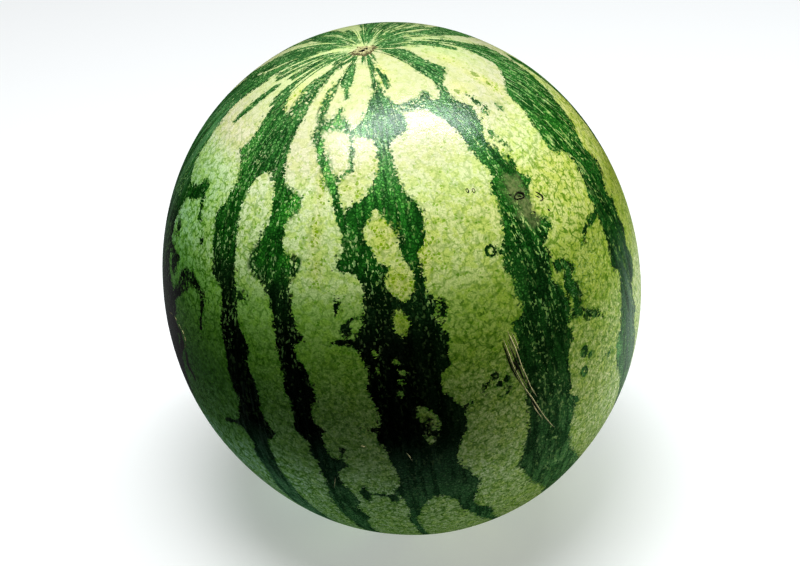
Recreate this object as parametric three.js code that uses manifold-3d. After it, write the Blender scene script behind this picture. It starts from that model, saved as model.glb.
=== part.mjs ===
// A whole watermelon, standing on its stem end and leaning a little to one side.
// The fruit is one grown body: the rind with its shallow lobes, the corky blossom scar on top
// and the dried stub of the stem in its dimple underneath are a single solid.
// Millimetres, +Z up. The origin is on the resting plane, under the middle of the fruit.
// Longitude is counted round the stem line from -Y towards +X.

import * as THREE from 'three';
import { mergeVertices } from 'three/addons/utils/BufferGeometryUtils.js';
import Module from 'manifold-3d';

// ---- driving dimensions -------------------------------------------------------------------

const EQUATOR_RADIUS = 125;     // half the fruit's width
const HALF_LENGTH = 138.5;      // from the middle to either end, along the stem line
const LEAN_DEG = 6.6;           // the blossom end leans this far towards -X
const ASKEW = -0.0195;          // sideways slip of the two ends, per millimetre along the stem line
const FLAT_DEPTH = 2.2;         // what the resting spot takes off the low end

// The rind is not quite round: each entry is a wave round the fruit, with its height in mm
// at the waist and the longitude of one crest.
const LOBES = [
  { count: 2, height: 0.35, crest: 40 },
  { count: 3, height: 0.30, crest: 15 },
  { count: 10, height: 0.25, crest: 4 },
];

// Blossom end: a shallow saucer, with a raised corky ring round a small pit.
const SAUCER_RADIUS = 24;
const SAUCER_DEPTH = 1.8;
const SCAR_RING_RADIUS = 3.9;
const SCAR_RING_HALF_WIDTH = 2.2;
const SCAR_RING_HEIGHT = 0.9;
const SCAR_PIT_RADIUS = 1.9;
const SCAR_PIT_DEPTH = 1.4;
const SCAR_SLIP = { x: -1.2, y: -4.2 };   // how far the scar has grown away from the stem line

// Stem end: a dimple, with the short stub left where the stem dried and was cut.
const DIMPLE_RADIUS = 13;
const DIMPLE_DEPTH = 6.5;
const STUB_RADIUS = 3.8;
const STUB_FLARE = 5.2;         // radius of the stub's foot, where it runs into the dimple
const STUB_LENGTH = 4.4;

// Facets
const SEGMENTS = 60;            // round the fruit
const BODY_RINGS = 32;          // from the saucer's rim down to the dimple's rim
const SAUCER_RADII = [8, 11, 14.5, 18.5, 22];
const SCAR_RADII = [0, 0.95, 1.9, 2.8, SCAR_RING_RADIUS, 5, 6.1];
const DIMPLE_RADII = [21, 16.5, DIMPLE_RADIUS, 11.2, 9.4, 7.6, 6.2, STUB_FLARE];

// ---- the fruit's profile ------------------------------------------------------------------

// 1 at the middle, 0 at and beyond the rim, smooth at both.
function swell(distance, reach) {
  const t = Math.min(Math.abs(distance) / reach, 1);
  return 0.5 * (1 + Math.cos(Math.PI * t));
}

// Height of the plain oval above its waist, at a distance from the stem line.
function ovalHeight(radius) {
  return HALF_LENGTH * Math.sqrt(1 - (radius / EQUATOR_RADIUS) ** 2);
}

function blossomEndHeight(radius) {
  const ring = SCAR_RING_HEIGHT * swell(radius - SCAR_RING_RADIUS, SCAR_RING_HALF_WIDTH);
  const pit = SCAR_PIT_DEPTH * swell(radius, SCAR_PIT_RADIUS);
  return ovalHeight(radius) - SAUCER_DEPTH * swell(radius, SAUCER_RADIUS) + ring - pit;
}

function stemEndHeight(radius) {
  return -ovalHeight(radius) + DIMPLE_DEPTH * swell(radius, DIMPLE_RADIUS);
}

// Points from the tip of the stub, up the outside, to the middle of the blossom scar.
function fruitProfile() {
  const floor = stemEndHeight(STUB_FLARE);
  const tip = floor - STUB_LENGTH;
  const stub = [[0, tip], [STUB_RADIUS * 0.55, tip], [STUB_RADIUS, tip + 0.5], [STUB_RADIUS, floor - 1.1]];
  const dimple = DIMPLE_RADII.map((radius) => [radius, stemEndHeight(radius)]).reverse();
  const lowAngle = Math.PI - Math.asin((DIMPLE_RADII[0] + 5) / EQUATOR_RADIUS);
  const highAngle = Math.asin((SAUCER_RADIUS + 3) / EQUATOR_RADIUS);
  const body = [];
  for (let i = 0; i <= BODY_RINGS; i += 1) {
    const angle = lowAngle + (highAngle - lowAngle) * (i / BODY_RINGS);
    body.push([EQUATOR_RADIUS * Math.sin(angle), HALF_LENGTH * Math.cos(angle)]);
  }
  const blossomEnd = [...SCAR_RADII, ...SAUCER_RADII].map((radius) => [radius, blossomEndHeight(radius)]);
  const points = [...stub, ...dimple, ...body, ...blossomEnd.reverse()];
  return points.map(([radius, height]) => new THREE.Vector2(radius, height));
}

// ---- the fruit as a closed mesh -----------------------------------------------------------

// Height of the lobes at a longitude, in mm.
function lobeHeight(longitude) {
  let sum = 0;
  for (const { count, height, crest } of LOBES) {
    sum += height * Math.cos(count * (longitude - THREE.MathUtils.degToRad(crest)));
  }
  return sum;
}

// The lobes die away towards both ends.
function addLobes(geometry) {
  const position = geometry.getAttribute('position');
  for (let i = 0; i < position.count; i += 1) {
    const x = position.getX(i);
    const y = position.getY(i);
    const radius = Math.hypot(x, y);
    const waist = (radius / EQUATOR_RADIUS) ** 2;
    const grow = radius > 0 ? 1 + (lobeHeight(Math.atan2(x, -y)) * waist) / radius : 1;
    position.setXY(i, x * grow, y * grow);
  }
}

// The scar slips sideways as a whole, and the saucer's slope takes up the difference.
function slipScar(geometry) {
  const position = geometry.getAttribute('position');
  const outside = SCAR_RADII[SCAR_RADII.length - 1];
  for (let i = 0; i < position.count; i += 1) {
    const x = position.getX(i);
    const y = position.getY(i);
    const beyond = Math.max(Math.hypot(x, y) - outside, 0);
    const share = position.getZ(i) > 0 ? swell(beyond, SAUCER_RADIUS - outside) : 0;
    position.setXY(i, x + SCAR_SLIP.x * share, y + SCAR_SLIP.y * share);
  }
}

function slipEnds(geometry) {
  const slip = new THREE.Matrix4().makeShear(0, 0, 0, 0, ASKEW, 0);
  geometry.applyMatrix4(slip);
}

// The waist's height above the resting plane.
function waistHeight() {
  const lean = THREE.MathUtils.degToRad(LEAN_DEG);
  const across = EQUATOR_RADIUS * Math.sin(lean);
  const along = HALF_LENGTH * (Math.cos(lean) + ASKEW * Math.sin(lean));
  return Math.hypot(across, along) - FLAT_DEPTH;
}

function fruitGeometry() {
  const geometry = new THREE.LatheGeometry(fruitProfile(), SEGMENTS);
  geometry.rotateX(Math.PI / 2);
  addLobes(geometry);
  slipScar(geometry);
  slipEnds(geometry);
  geometry.rotateY(-THREE.MathUtils.degToRad(LEAN_DEG));
  geometry.translate(0, 0, waistHeight());
  return geometry;
}

// ---- solids -------------------------------------------------------------------------------

const wasm = await Module();
wasm.setup();

// A closed geometry as a solid: shared corners merged, and the triangles that shrink to a
// line at the poles dropped.
function toSolid(geometry) {
  const bare = new THREE.BufferGeometry();
  bare.setAttribute('position', geometry.getAttribute('position').clone());
  bare.setIndex(geometry.getIndex().clone());
  const merged = mergeVertices(bare, 1e-4);
  const index = merged.getIndex().array;
  const kept = [];
  for (let i = 0; i < index.length; i += 3) {
    const [a, b, c] = [index[i], index[i + 1], index[i + 2]];
    if (a !== b && b !== c && c !== a) {
      kept.push(a, b, c);
    }
  }
  return new wasm.Manifold(new wasm.Mesh({
    numProp: 3,
    vertProperties: Float32Array.from(merged.getAttribute('position').array),
    triVerts: Uint32Array.from(kept),
  }));
}

function toGeometry(solid) {
  const { vertProperties, triVerts } = solid.getMesh();
  const geometry = new THREE.BufferGeometry();
  geometry.setAttribute('position', new THREE.BufferAttribute(Float32Array.from(vertProperties), 3));
  geometry.setIndex(new THREE.BufferAttribute(Uint32Array.from(triVerts), 1));
  geometry.computeVertexNormals();
  return geometry;
}

// The block under the resting plane that leaves the small flat spot.
function belowRestingPlane() {
  const side = 2 * EQUATOR_RADIUS;
  const geometry = new THREE.BoxGeometry(side, side, side);
  geometry.translate(0, 0, -side / 2);
  return toSolid(geometry);
}

// ---- the finished object ------------------------------------------------------------------

function rindMaterial() {
  return new THREE.MeshStandardMaterial({ color: 0x7f9a45, roughness: 0.38, metalness: 0 });
}

function watermelon() {
  const rested = toSolid(fruitGeometry()).subtract(belowRestingPlane());
  const mesh = new THREE.Mesh(toGeometry(rested), rindMaterial());
  mesh.name = 'watermelon';
  return mesh;
}

const group = new THREE.Group();
group.add(watermelon());

export default group;
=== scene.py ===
import math

import bpy
import numpy as np
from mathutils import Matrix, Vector


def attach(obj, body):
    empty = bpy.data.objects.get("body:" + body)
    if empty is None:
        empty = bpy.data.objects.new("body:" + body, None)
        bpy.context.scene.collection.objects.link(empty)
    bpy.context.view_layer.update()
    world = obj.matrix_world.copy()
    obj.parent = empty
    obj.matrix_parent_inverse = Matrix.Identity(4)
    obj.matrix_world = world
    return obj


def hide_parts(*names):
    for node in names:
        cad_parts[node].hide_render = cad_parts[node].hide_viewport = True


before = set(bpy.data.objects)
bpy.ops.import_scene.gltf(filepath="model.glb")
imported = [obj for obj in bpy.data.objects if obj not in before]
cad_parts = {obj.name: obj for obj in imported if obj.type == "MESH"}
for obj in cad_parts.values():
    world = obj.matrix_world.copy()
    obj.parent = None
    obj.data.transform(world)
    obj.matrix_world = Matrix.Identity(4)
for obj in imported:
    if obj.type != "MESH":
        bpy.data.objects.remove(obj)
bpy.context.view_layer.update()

# ---- Studio ---------------------------------------------------------------------------------
# A plain pale floor, a long soft light overhead and a wash beside it, two soft lights on the right
# and a faint glow off the table, with a camera that looks down from in front. Metres throughout.

FRUIT_CENTRE = Vector((0.0, 0.0, 0.13582))
CAMERA_DISTANCE = 1.0
CAMERA_ELEVATION = math.radians(32.7)
CAMERA_SIDESTEP = -0.00131
CAMERA_RAISE = -0.0009
LENS_MM = 85.26
SENSOR_MM = 36.0
VIEW_GAMMA = 0.82         # darkens the middle tones of the whole picture

camera_data = bpy.data.cameras.new("camera")
camera_data.lens = LENS_MM
camera_data.sensor_width = SENSOR_MM
camera_data.clip_end = 50.0
camera = bpy.data.objects.new("camera", camera_data)
looking = Vector((0.0, math.cos(CAMERA_ELEVATION), -math.sin(CAMERA_ELEVATION)))
upward = Vector((0.0, math.sin(CAMERA_ELEVATION), math.cos(CAMERA_ELEVATION)))
camera.location = FRUIT_CENTRE - looking * CAMERA_DISTANCE + upward * CAMERA_RAISE
camera.location.x += CAMERA_SIDESTEP
camera.rotation_euler = (math.pi / 2 - CAMERA_ELEVATION, 0.0, 0.0)
bpy.context.scene.collection.objects.link(camera)
bpy.context.scene.camera = camera
bpy.context.scene.view_settings.view_transform = "Standard"
bpy.context.scene.view_settings.gamma = VIEW_GAMMA

AREA_LIGHTS = {
    # name: (place, aim, turn in degrees, width, depth, watts, colour, seen in the gloss)
    "overhead_softbox": (
        (0.14, 0.1, 1.4), (0.14, 0.099, 0.0), 19, 1.42, 0.22, 18.0, (0.9, 0.97, 1.0), True),
    "ceiling_wash": ((-0.15, -0.25, 1.45), (0.0, 0.0, 0.15), 0, 0.8, 0.6, 17.0, (1.0, 1.0, 1.0), False),
    "right_window": ((1.35, 0.1, -0.02), (0.0, 0.0, 0.13), 0, 0.7, 0.5, 26.0, (1.0, 1.0, 1.0), False),
    "right_fill": ((1.35, -0.5, 0.4), (0.0, 0.0, 0.13), 0, 0.7, 0.7, 1.5, (1.0, 1.0, 1.0), False),
    "table_glow": ((0.08, 0.0, 0.003), (0.08, 0.001, 1.0), 0, 0.6, 0.55, 1.1, (0.88, 0.97, 1.0), False),
}
for name, (place, aim, turn, width, depth, watts, colour, glossy) in AREA_LIGHTS.items():
    lamp = bpy.data.lights.new(name, "AREA")
    lamp.shape = "RECTANGLE"
    lamp.size = width
    lamp.size_y = depth
    lamp.energy = watts
    lamp.color = colour
    lamp_object = bpy.data.objects.new(name, lamp)
    lamp_object.location = place
    lamp_object.rotation_euler = (Vector(aim) - Vector(place)).to_track_quat("-Z", "Y").to_euler()
    lamp_object.rotation_euler.z += math.radians(turn)
    lamp_object.visible_glossy = glossy
    lamp_object.visible_camera = False
    bpy.context.scene.collection.objects.link(lamp_object)


SKY_STRENGTH = 0.01
world = bpy.data.worlds.new("studio_air")
world.use_nodes = True
sky = world.node_tree.nodes["Background"]
sky.inputs["Color"].default_value = (1.0, 1.0, 1.0, 1.0)
sky.inputs["Strength"].default_value = SKY_STRENGTH
bpy.context.scene.world = world

FLOOR_SIDE = 12.0
FLOOR_PALE = (0.5, 0.5, 0.5, 1.0)         # its paint, and its own soft glow, as the camera sees them
FLOOR_GLOW = 0.42
# what the floor lends the fruit by its bounce: (place, radius, share) of two pale patches behind it,
# then of one on its left that only the gloss sees
LENDING_PATCHES = [
    ((0.28, 0.17, 0.0), 0.26, 0.5), ((-0.27, 0.14, 0.0), 0.2, 0.05), ((-0.26, 0.22, 0.0), 0.3, 0.1)]
BLACK = (0.0, 0.0, 0.0, 1.0)
WHITE = (1.0, 1.0, 1.0, 1.0)
MIX_FIRST = 6                             # the sockets of a Mix node that hold its two colours
MIX_SECOND = 7
MIX_RESULT = 2


class Flow:
    """One output of a node tree. Sums and products of flows add Math nodes to the tree."""

    def __init__(self, tree, socket=None):
        self.tree = tree
        self.socket = socket

    def node(self, kind, values=None, out=0, **settings):
        """Adds a node, gives it its settings and its sockets' numbers or flows, and returns an output."""
        made = self.tree.nodes.new(kind)
        for name, setting in settings.items():
            setattr(made, name, setting)
        for key, value in (values or {}).items():
            if isinstance(value, Flow):
                self.tree.links.new(value.socket, made.inputs[key])
            else:
                made.inputs[key].default_value = value
        return Flow(self.tree, made.outputs[out])

    def math(self, operation, *others):
        return self.node("ShaderNodeMath", dict(enumerate((self, *others))), operation=operation)

    def over(self, operation, other, out=0):
        """The same for two vectors."""
        return self.node("ShaderNodeVectorMath", {0: self, 1: other}, out, operation=operation)

    def noise(self, scale, detail, out=0, **more):
        """Noise at this place, 0 to 1, or as a colour."""
        values = {"Vector": self, "Scale": scale, "Detail": detail, **more}
        return self.node("ShaderNodeTexNoise", values, out)

    def axes(self):
        """A vector's three numbers."""
        return [self.node("ShaderNodeSeparateXYZ", {0: self}, axis) for axis in "XYZ"]

    def with_yz(self, y, z):
        """The vector that has this number for its X."""
        return self.node("ShaderNodeCombineXYZ", {0: self, 1: y, 2: z})

    def __add__(self, other):
        return self.math("ADD", other)

    def __mul__(self, other):
        return self.math("MULTIPLY", other)

    def __sub__(self, other):
        return self.math("SUBTRACT", other)

    def __truediv__(self, other):
        return self.math("DIVIDE", other)

    def __rsub__(self, other):
        return self.node("ShaderNodeMath", {0: other, 1: self}, operation="SUBTRACT")

    __radd__ = __add__
    __rmul__ = __mul__


def new_skin(name):
    """A material, and the place on the object as its shader knows it."""
    material = bpy.data.materials.new(name)
    material.use_nodes = True
    return material, Flow(material.node_tree).node("ShaderNodeTexCoord", out="Object")


def feed(material, **inputs):
    """Gives a material's shader its numbers, colours and flows. An underscore stands for a space."""
    shader = material.node_tree.nodes["Principled BSDF"]
    for name, value in inputs.items():
        socket = shader.inputs[name.replace("_", " ")]
        if isinstance(value, Flow):
            material.node_tree.links.new(value.socket, socket)
        else:
            socket.default_value = value


def blend(share, first, second):
    """The first colour where the share is 0, the second where it is 1."""
    colours = {0: share, MIX_FIRST: first, MIX_SECOND: second}
    return share.node("ShaderNodeMix", colours, MIX_RESULT, data_type="RGBA")


floor_mesh = bpy.data.meshes.new("floor")
half = FLOOR_SIDE / 2
corners = [(-half, -half, 0), (half, -half, 0), (half, half, 0), (-half, half, 0)]
floor_mesh.from_pydata(corners, [], [(0, 1, 2, 3)])
floor = bpy.data.objects.new("floor", floor_mesh)
bpy.context.scene.collection.objects.link(floor)
floor_paint, here = new_skin("floor_paint")
lent = []
for place, radius, share in LENDING_PATCHES:
    reach = here.over("DISTANCE", place, "Value")
    fading = {"Value": reach, "From Max": radius, "To Min": share, "To Max": 0.0}
    lent.append(here.node("ShaderNodeMapRange", fading))
lent[2] = lent[2] * here.node("ShaderNodeLightPath", out="Is Glossy Ray")
seen = here.node("ShaderNodeLightPath", out="Is Camera Ray")
feed(floor_paint, Base_Color=blend(seen, lent[0] + lent[1] + lent[2], FLOOR_PALE), Roughness=0.9,
     Specular_IOR_Level=0.0, Emission_Color=blend(seen, BLACK, WHITE), Emission_Strength=FLOOR_GLOW)
floor_mesh.materials.append(floor_paint)


# ---- The fruit's body ------------------------------------------------------------------------
# One grown oval, a little longer than wide, with faint lobes round its waist, a shallow saucer at
# the blossom end and a dimple at the stem end. It leans to the left and stands on a small flat.

WAIST_RADIUS = 0.1249
HALF_LENGTH = 0.1384
LEAN = math.radians(6.6)
ASKEW = -0.0195
FLAT_DEPTH = 0.0022
SAUCER_RADIUS = 0.024
SAUCER_DEPTH = 0.0018
DIMPLE_RADIUS = 0.013
DIMPLE_DEPTH = 0.0065
LOBES = [(2, 0.00035, 40), (3, 0.00030, 15), (10, 0.00025, 4)]   # waves round, height, crest in degrees
RIPPLE_HEIGHT = 0.00012
RIPPLES_PER_RADIUS = 6.0
COLUMNS = 330
ROWS = 301
FRONT_CROWDING = 0.6     # how much closer the columns stand on the side that faces -Y
SEAM_REACH = 0.00001     # points closer than this are joined


def node_inputs(tree, sizes):
    """Named number inputs of a node group: a flow for each, and the identifiers that a modifier needs."""
    identifiers = {}
    for name in sizes:
        socket = tree.interface.new_socket(name, in_out="INPUT", socket_type="NodeSocketFloat")
        identifiers[name] = socket.identifier
    source = tree.nodes.new("NodeGroupInput")
    return {name: Flow(tree, source.outputs[name]) for name in sizes}, identifiers


def swell(distance, reach):
    """1 at the middle, 0 at and beyond the rim, smooth at both."""
    share = (distance / reach).math("MINIMUM", 1.0)
    return 0.5 + 0.5 * (share * math.pi).math("COSINE")


RIND_SIZES = {"Waist radius": WAIST_RADIUS, "Half length": HALF_LENGTH, "Lean": LEAN, "Askew": ASKEW,
              "Flat depth": FLAT_DEPTH, "Saucer radius": SAUCER_RADIUS, "Saucer depth": SAUCER_DEPTH,
              "Dimple radius": DIMPLE_RADIUS, "Dimple depth": DIMPLE_DEPTH, "Ripple height": RIPPLE_HEIGHT}


def set_down(size, x, y, height):
    """A place on the upright fruit, once its ends have slipped and it leans over on its flat."""
    x = x + size["Askew"] * height
    lean_sine = size["Lean"].math("SINE")
    lean_cosine = size["Lean"].math("COSINE")
    across_lean = size["Waist radius"] * lean_sine
    along_lean = size["Half length"] * (lean_cosine + size["Askew"] * lean_sine)
    rest = (across_lean * across_lean + along_lean * along_lean).math("SQRT") - size["Flat depth"]
    leaned_x = x * lean_cosine - height * lean_sine
    leaned_z = (x * lean_sine + height * lean_cosine + rest).math("MAXIMUM", 0.0)
    return leaned_x.with_yz(y, leaned_z)


def rind_spot(size, longitude, polar):
    """Where a place on the rind lies, and its direction on a ball, from its two angles."""
    round_sine = longitude.math("SINE")
    round_cosine = longitude.math("COSINE")
    down_sine = polar.math("SINE")
    radius = size["Waist radius"] * down_sine
    upper = polar.math("LESS_THAN", math.pi / 2)
    height = size["Half length"] * polar.math("COSINE")
    height = height - size["Saucer depth"] * swell(radius, size["Saucer radius"]) * upper
    height = height + size["Dimple depth"] * swell(radius, size["Dimple radius"]) * (1.0 - upper)

    lobe = 0.0 * longitude
    for count, high, crest in LOBES:
        lobe = lobe + high * (count * (longitude - math.radians(crest))).math("COSINE")
    unit = (down_sine * round_sine).with_yz(down_sine * round_cosine * -1.0, polar.math("COSINE"))
    lobe = lobe + (unit.noise(RIPPLES_PER_RADIUS, 1.0) - 0.5) * 2.0 * size["Ripple height"]
    radius = radius + lobe * (down_sine * down_sine)
    return set_down(size, radius * round_sine, radius * round_cosine * -1.0, height), unit


def tree_ends(name, sizes):
    """A new node group with a geometry input and output, and its named sizes."""
    tree = bpy.data.node_groups.new(name, "GeometryNodeTree")
    tree.interface.new_socket("Base", in_out="INPUT", socket_type="NodeSocketGeometry")
    size, identifiers = node_inputs(tree, sizes)
    tree.interface.new_socket("Geometry", in_out="OUTPUT", socket_type="NodeSocketGeometry")
    base = Flow(tree, tree.nodes.new("NodeGroupInput").outputs["Base"])
    return tree, size, {identifiers[label]: value for label, value in sizes.items()}, base


def sheet_places(start, columns, rows):
    """A flat sheet of unit size, with how far round and how far down it each point lies, 0 to 1."""
    sheet = start.node("GeometryNodeMeshGrid", {"Size X": 1.0, "Size Y": 1.0,
                                                "Vertices X": columns + 1, "Vertices Y": rows + 1})
    across, back, _ = start.node("GeometryNodeInputPosition").axes()
    return sheet, across + 0.5, 0.5 - back


def close_up(body, material):
    """Joins the seam and the poles, smooths, gives the material and ends the tree."""
    for kind, values in (
            ("MergeByDistance", {"Distance": SEAM_REACH}), ("SetShadeSmooth", {"Shade Smooth": True}),
            ("RealizeInstances", {}), ("SetMaterial", {"Material": material})):
        body = body.node("GeometryNode" + kind, {"Geometry": body} | values)
    body.tree.links.new(body.socket, body.tree.nodes.new("NodeGroupOutput").inputs[0])


def keep(body, name, values, kind="FLOAT"):
    """The body with a value stored at each point, for its material to read."""
    stored = {"Geometry": body, "Name": name, "Value": values}
    return body.node("GeometryNodeStoreNamedAttribute", stored, data_type=kind, domain="POINT")


def moved(body, spot):
    """The body with each of its points moved to its spot."""
    return body.node("GeometryNodeSetPosition", {"Geometry": body, "Position": spot})


def grown_fruit_tree(material):
    """The fruit's own tree: a sheet of points wrapped round it, denser on the side that faces -Y."""
    tree, size, settings, base = tree_ends("grown_fruit", RIND_SIZES)
    sheet, round_share, down_share = sheet_places(base, COLUMNS, ROWS)
    turn = (round_share - 0.5) * (2 * math.pi)
    longitude = turn - FRONT_CROWDING * turn.math("SINE")
    spot, unit = rind_spot(size, longitude, down_share * math.pi)
    close_up(moved(keep(sheet, "grown", unit, "FLOAT_VECTOR"), spot), material)
    return tree, settings


def grow(name, tree, settings, base=None):
    """The result of a node tree as a plain mesh object at the origin."""
    seed = bpy.data.objects.new(name + "_seed", base or bpy.data.meshes.new(name + "_seed"))
    bpy.context.scene.collection.objects.link(seed)
    modifier = seed.modifiers.new("grow", "NODES")
    modifier.node_group = tree
    for identifier, value in settings.items():
        modifier[identifier] = value
    depsgraph = bpy.context.evaluated_depsgraph_get()
    mesh = bpy.data.meshes.new_from_object(seed.evaluated_get(depsgraph), depsgraph=depsgraph)
    bpy.data.objects.remove(seed)
    mesh.name = name
    piece = bpy.data.objects.new(name, mesh)
    bpy.context.scene.collection.objects.link(piece)
    return piece


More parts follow.
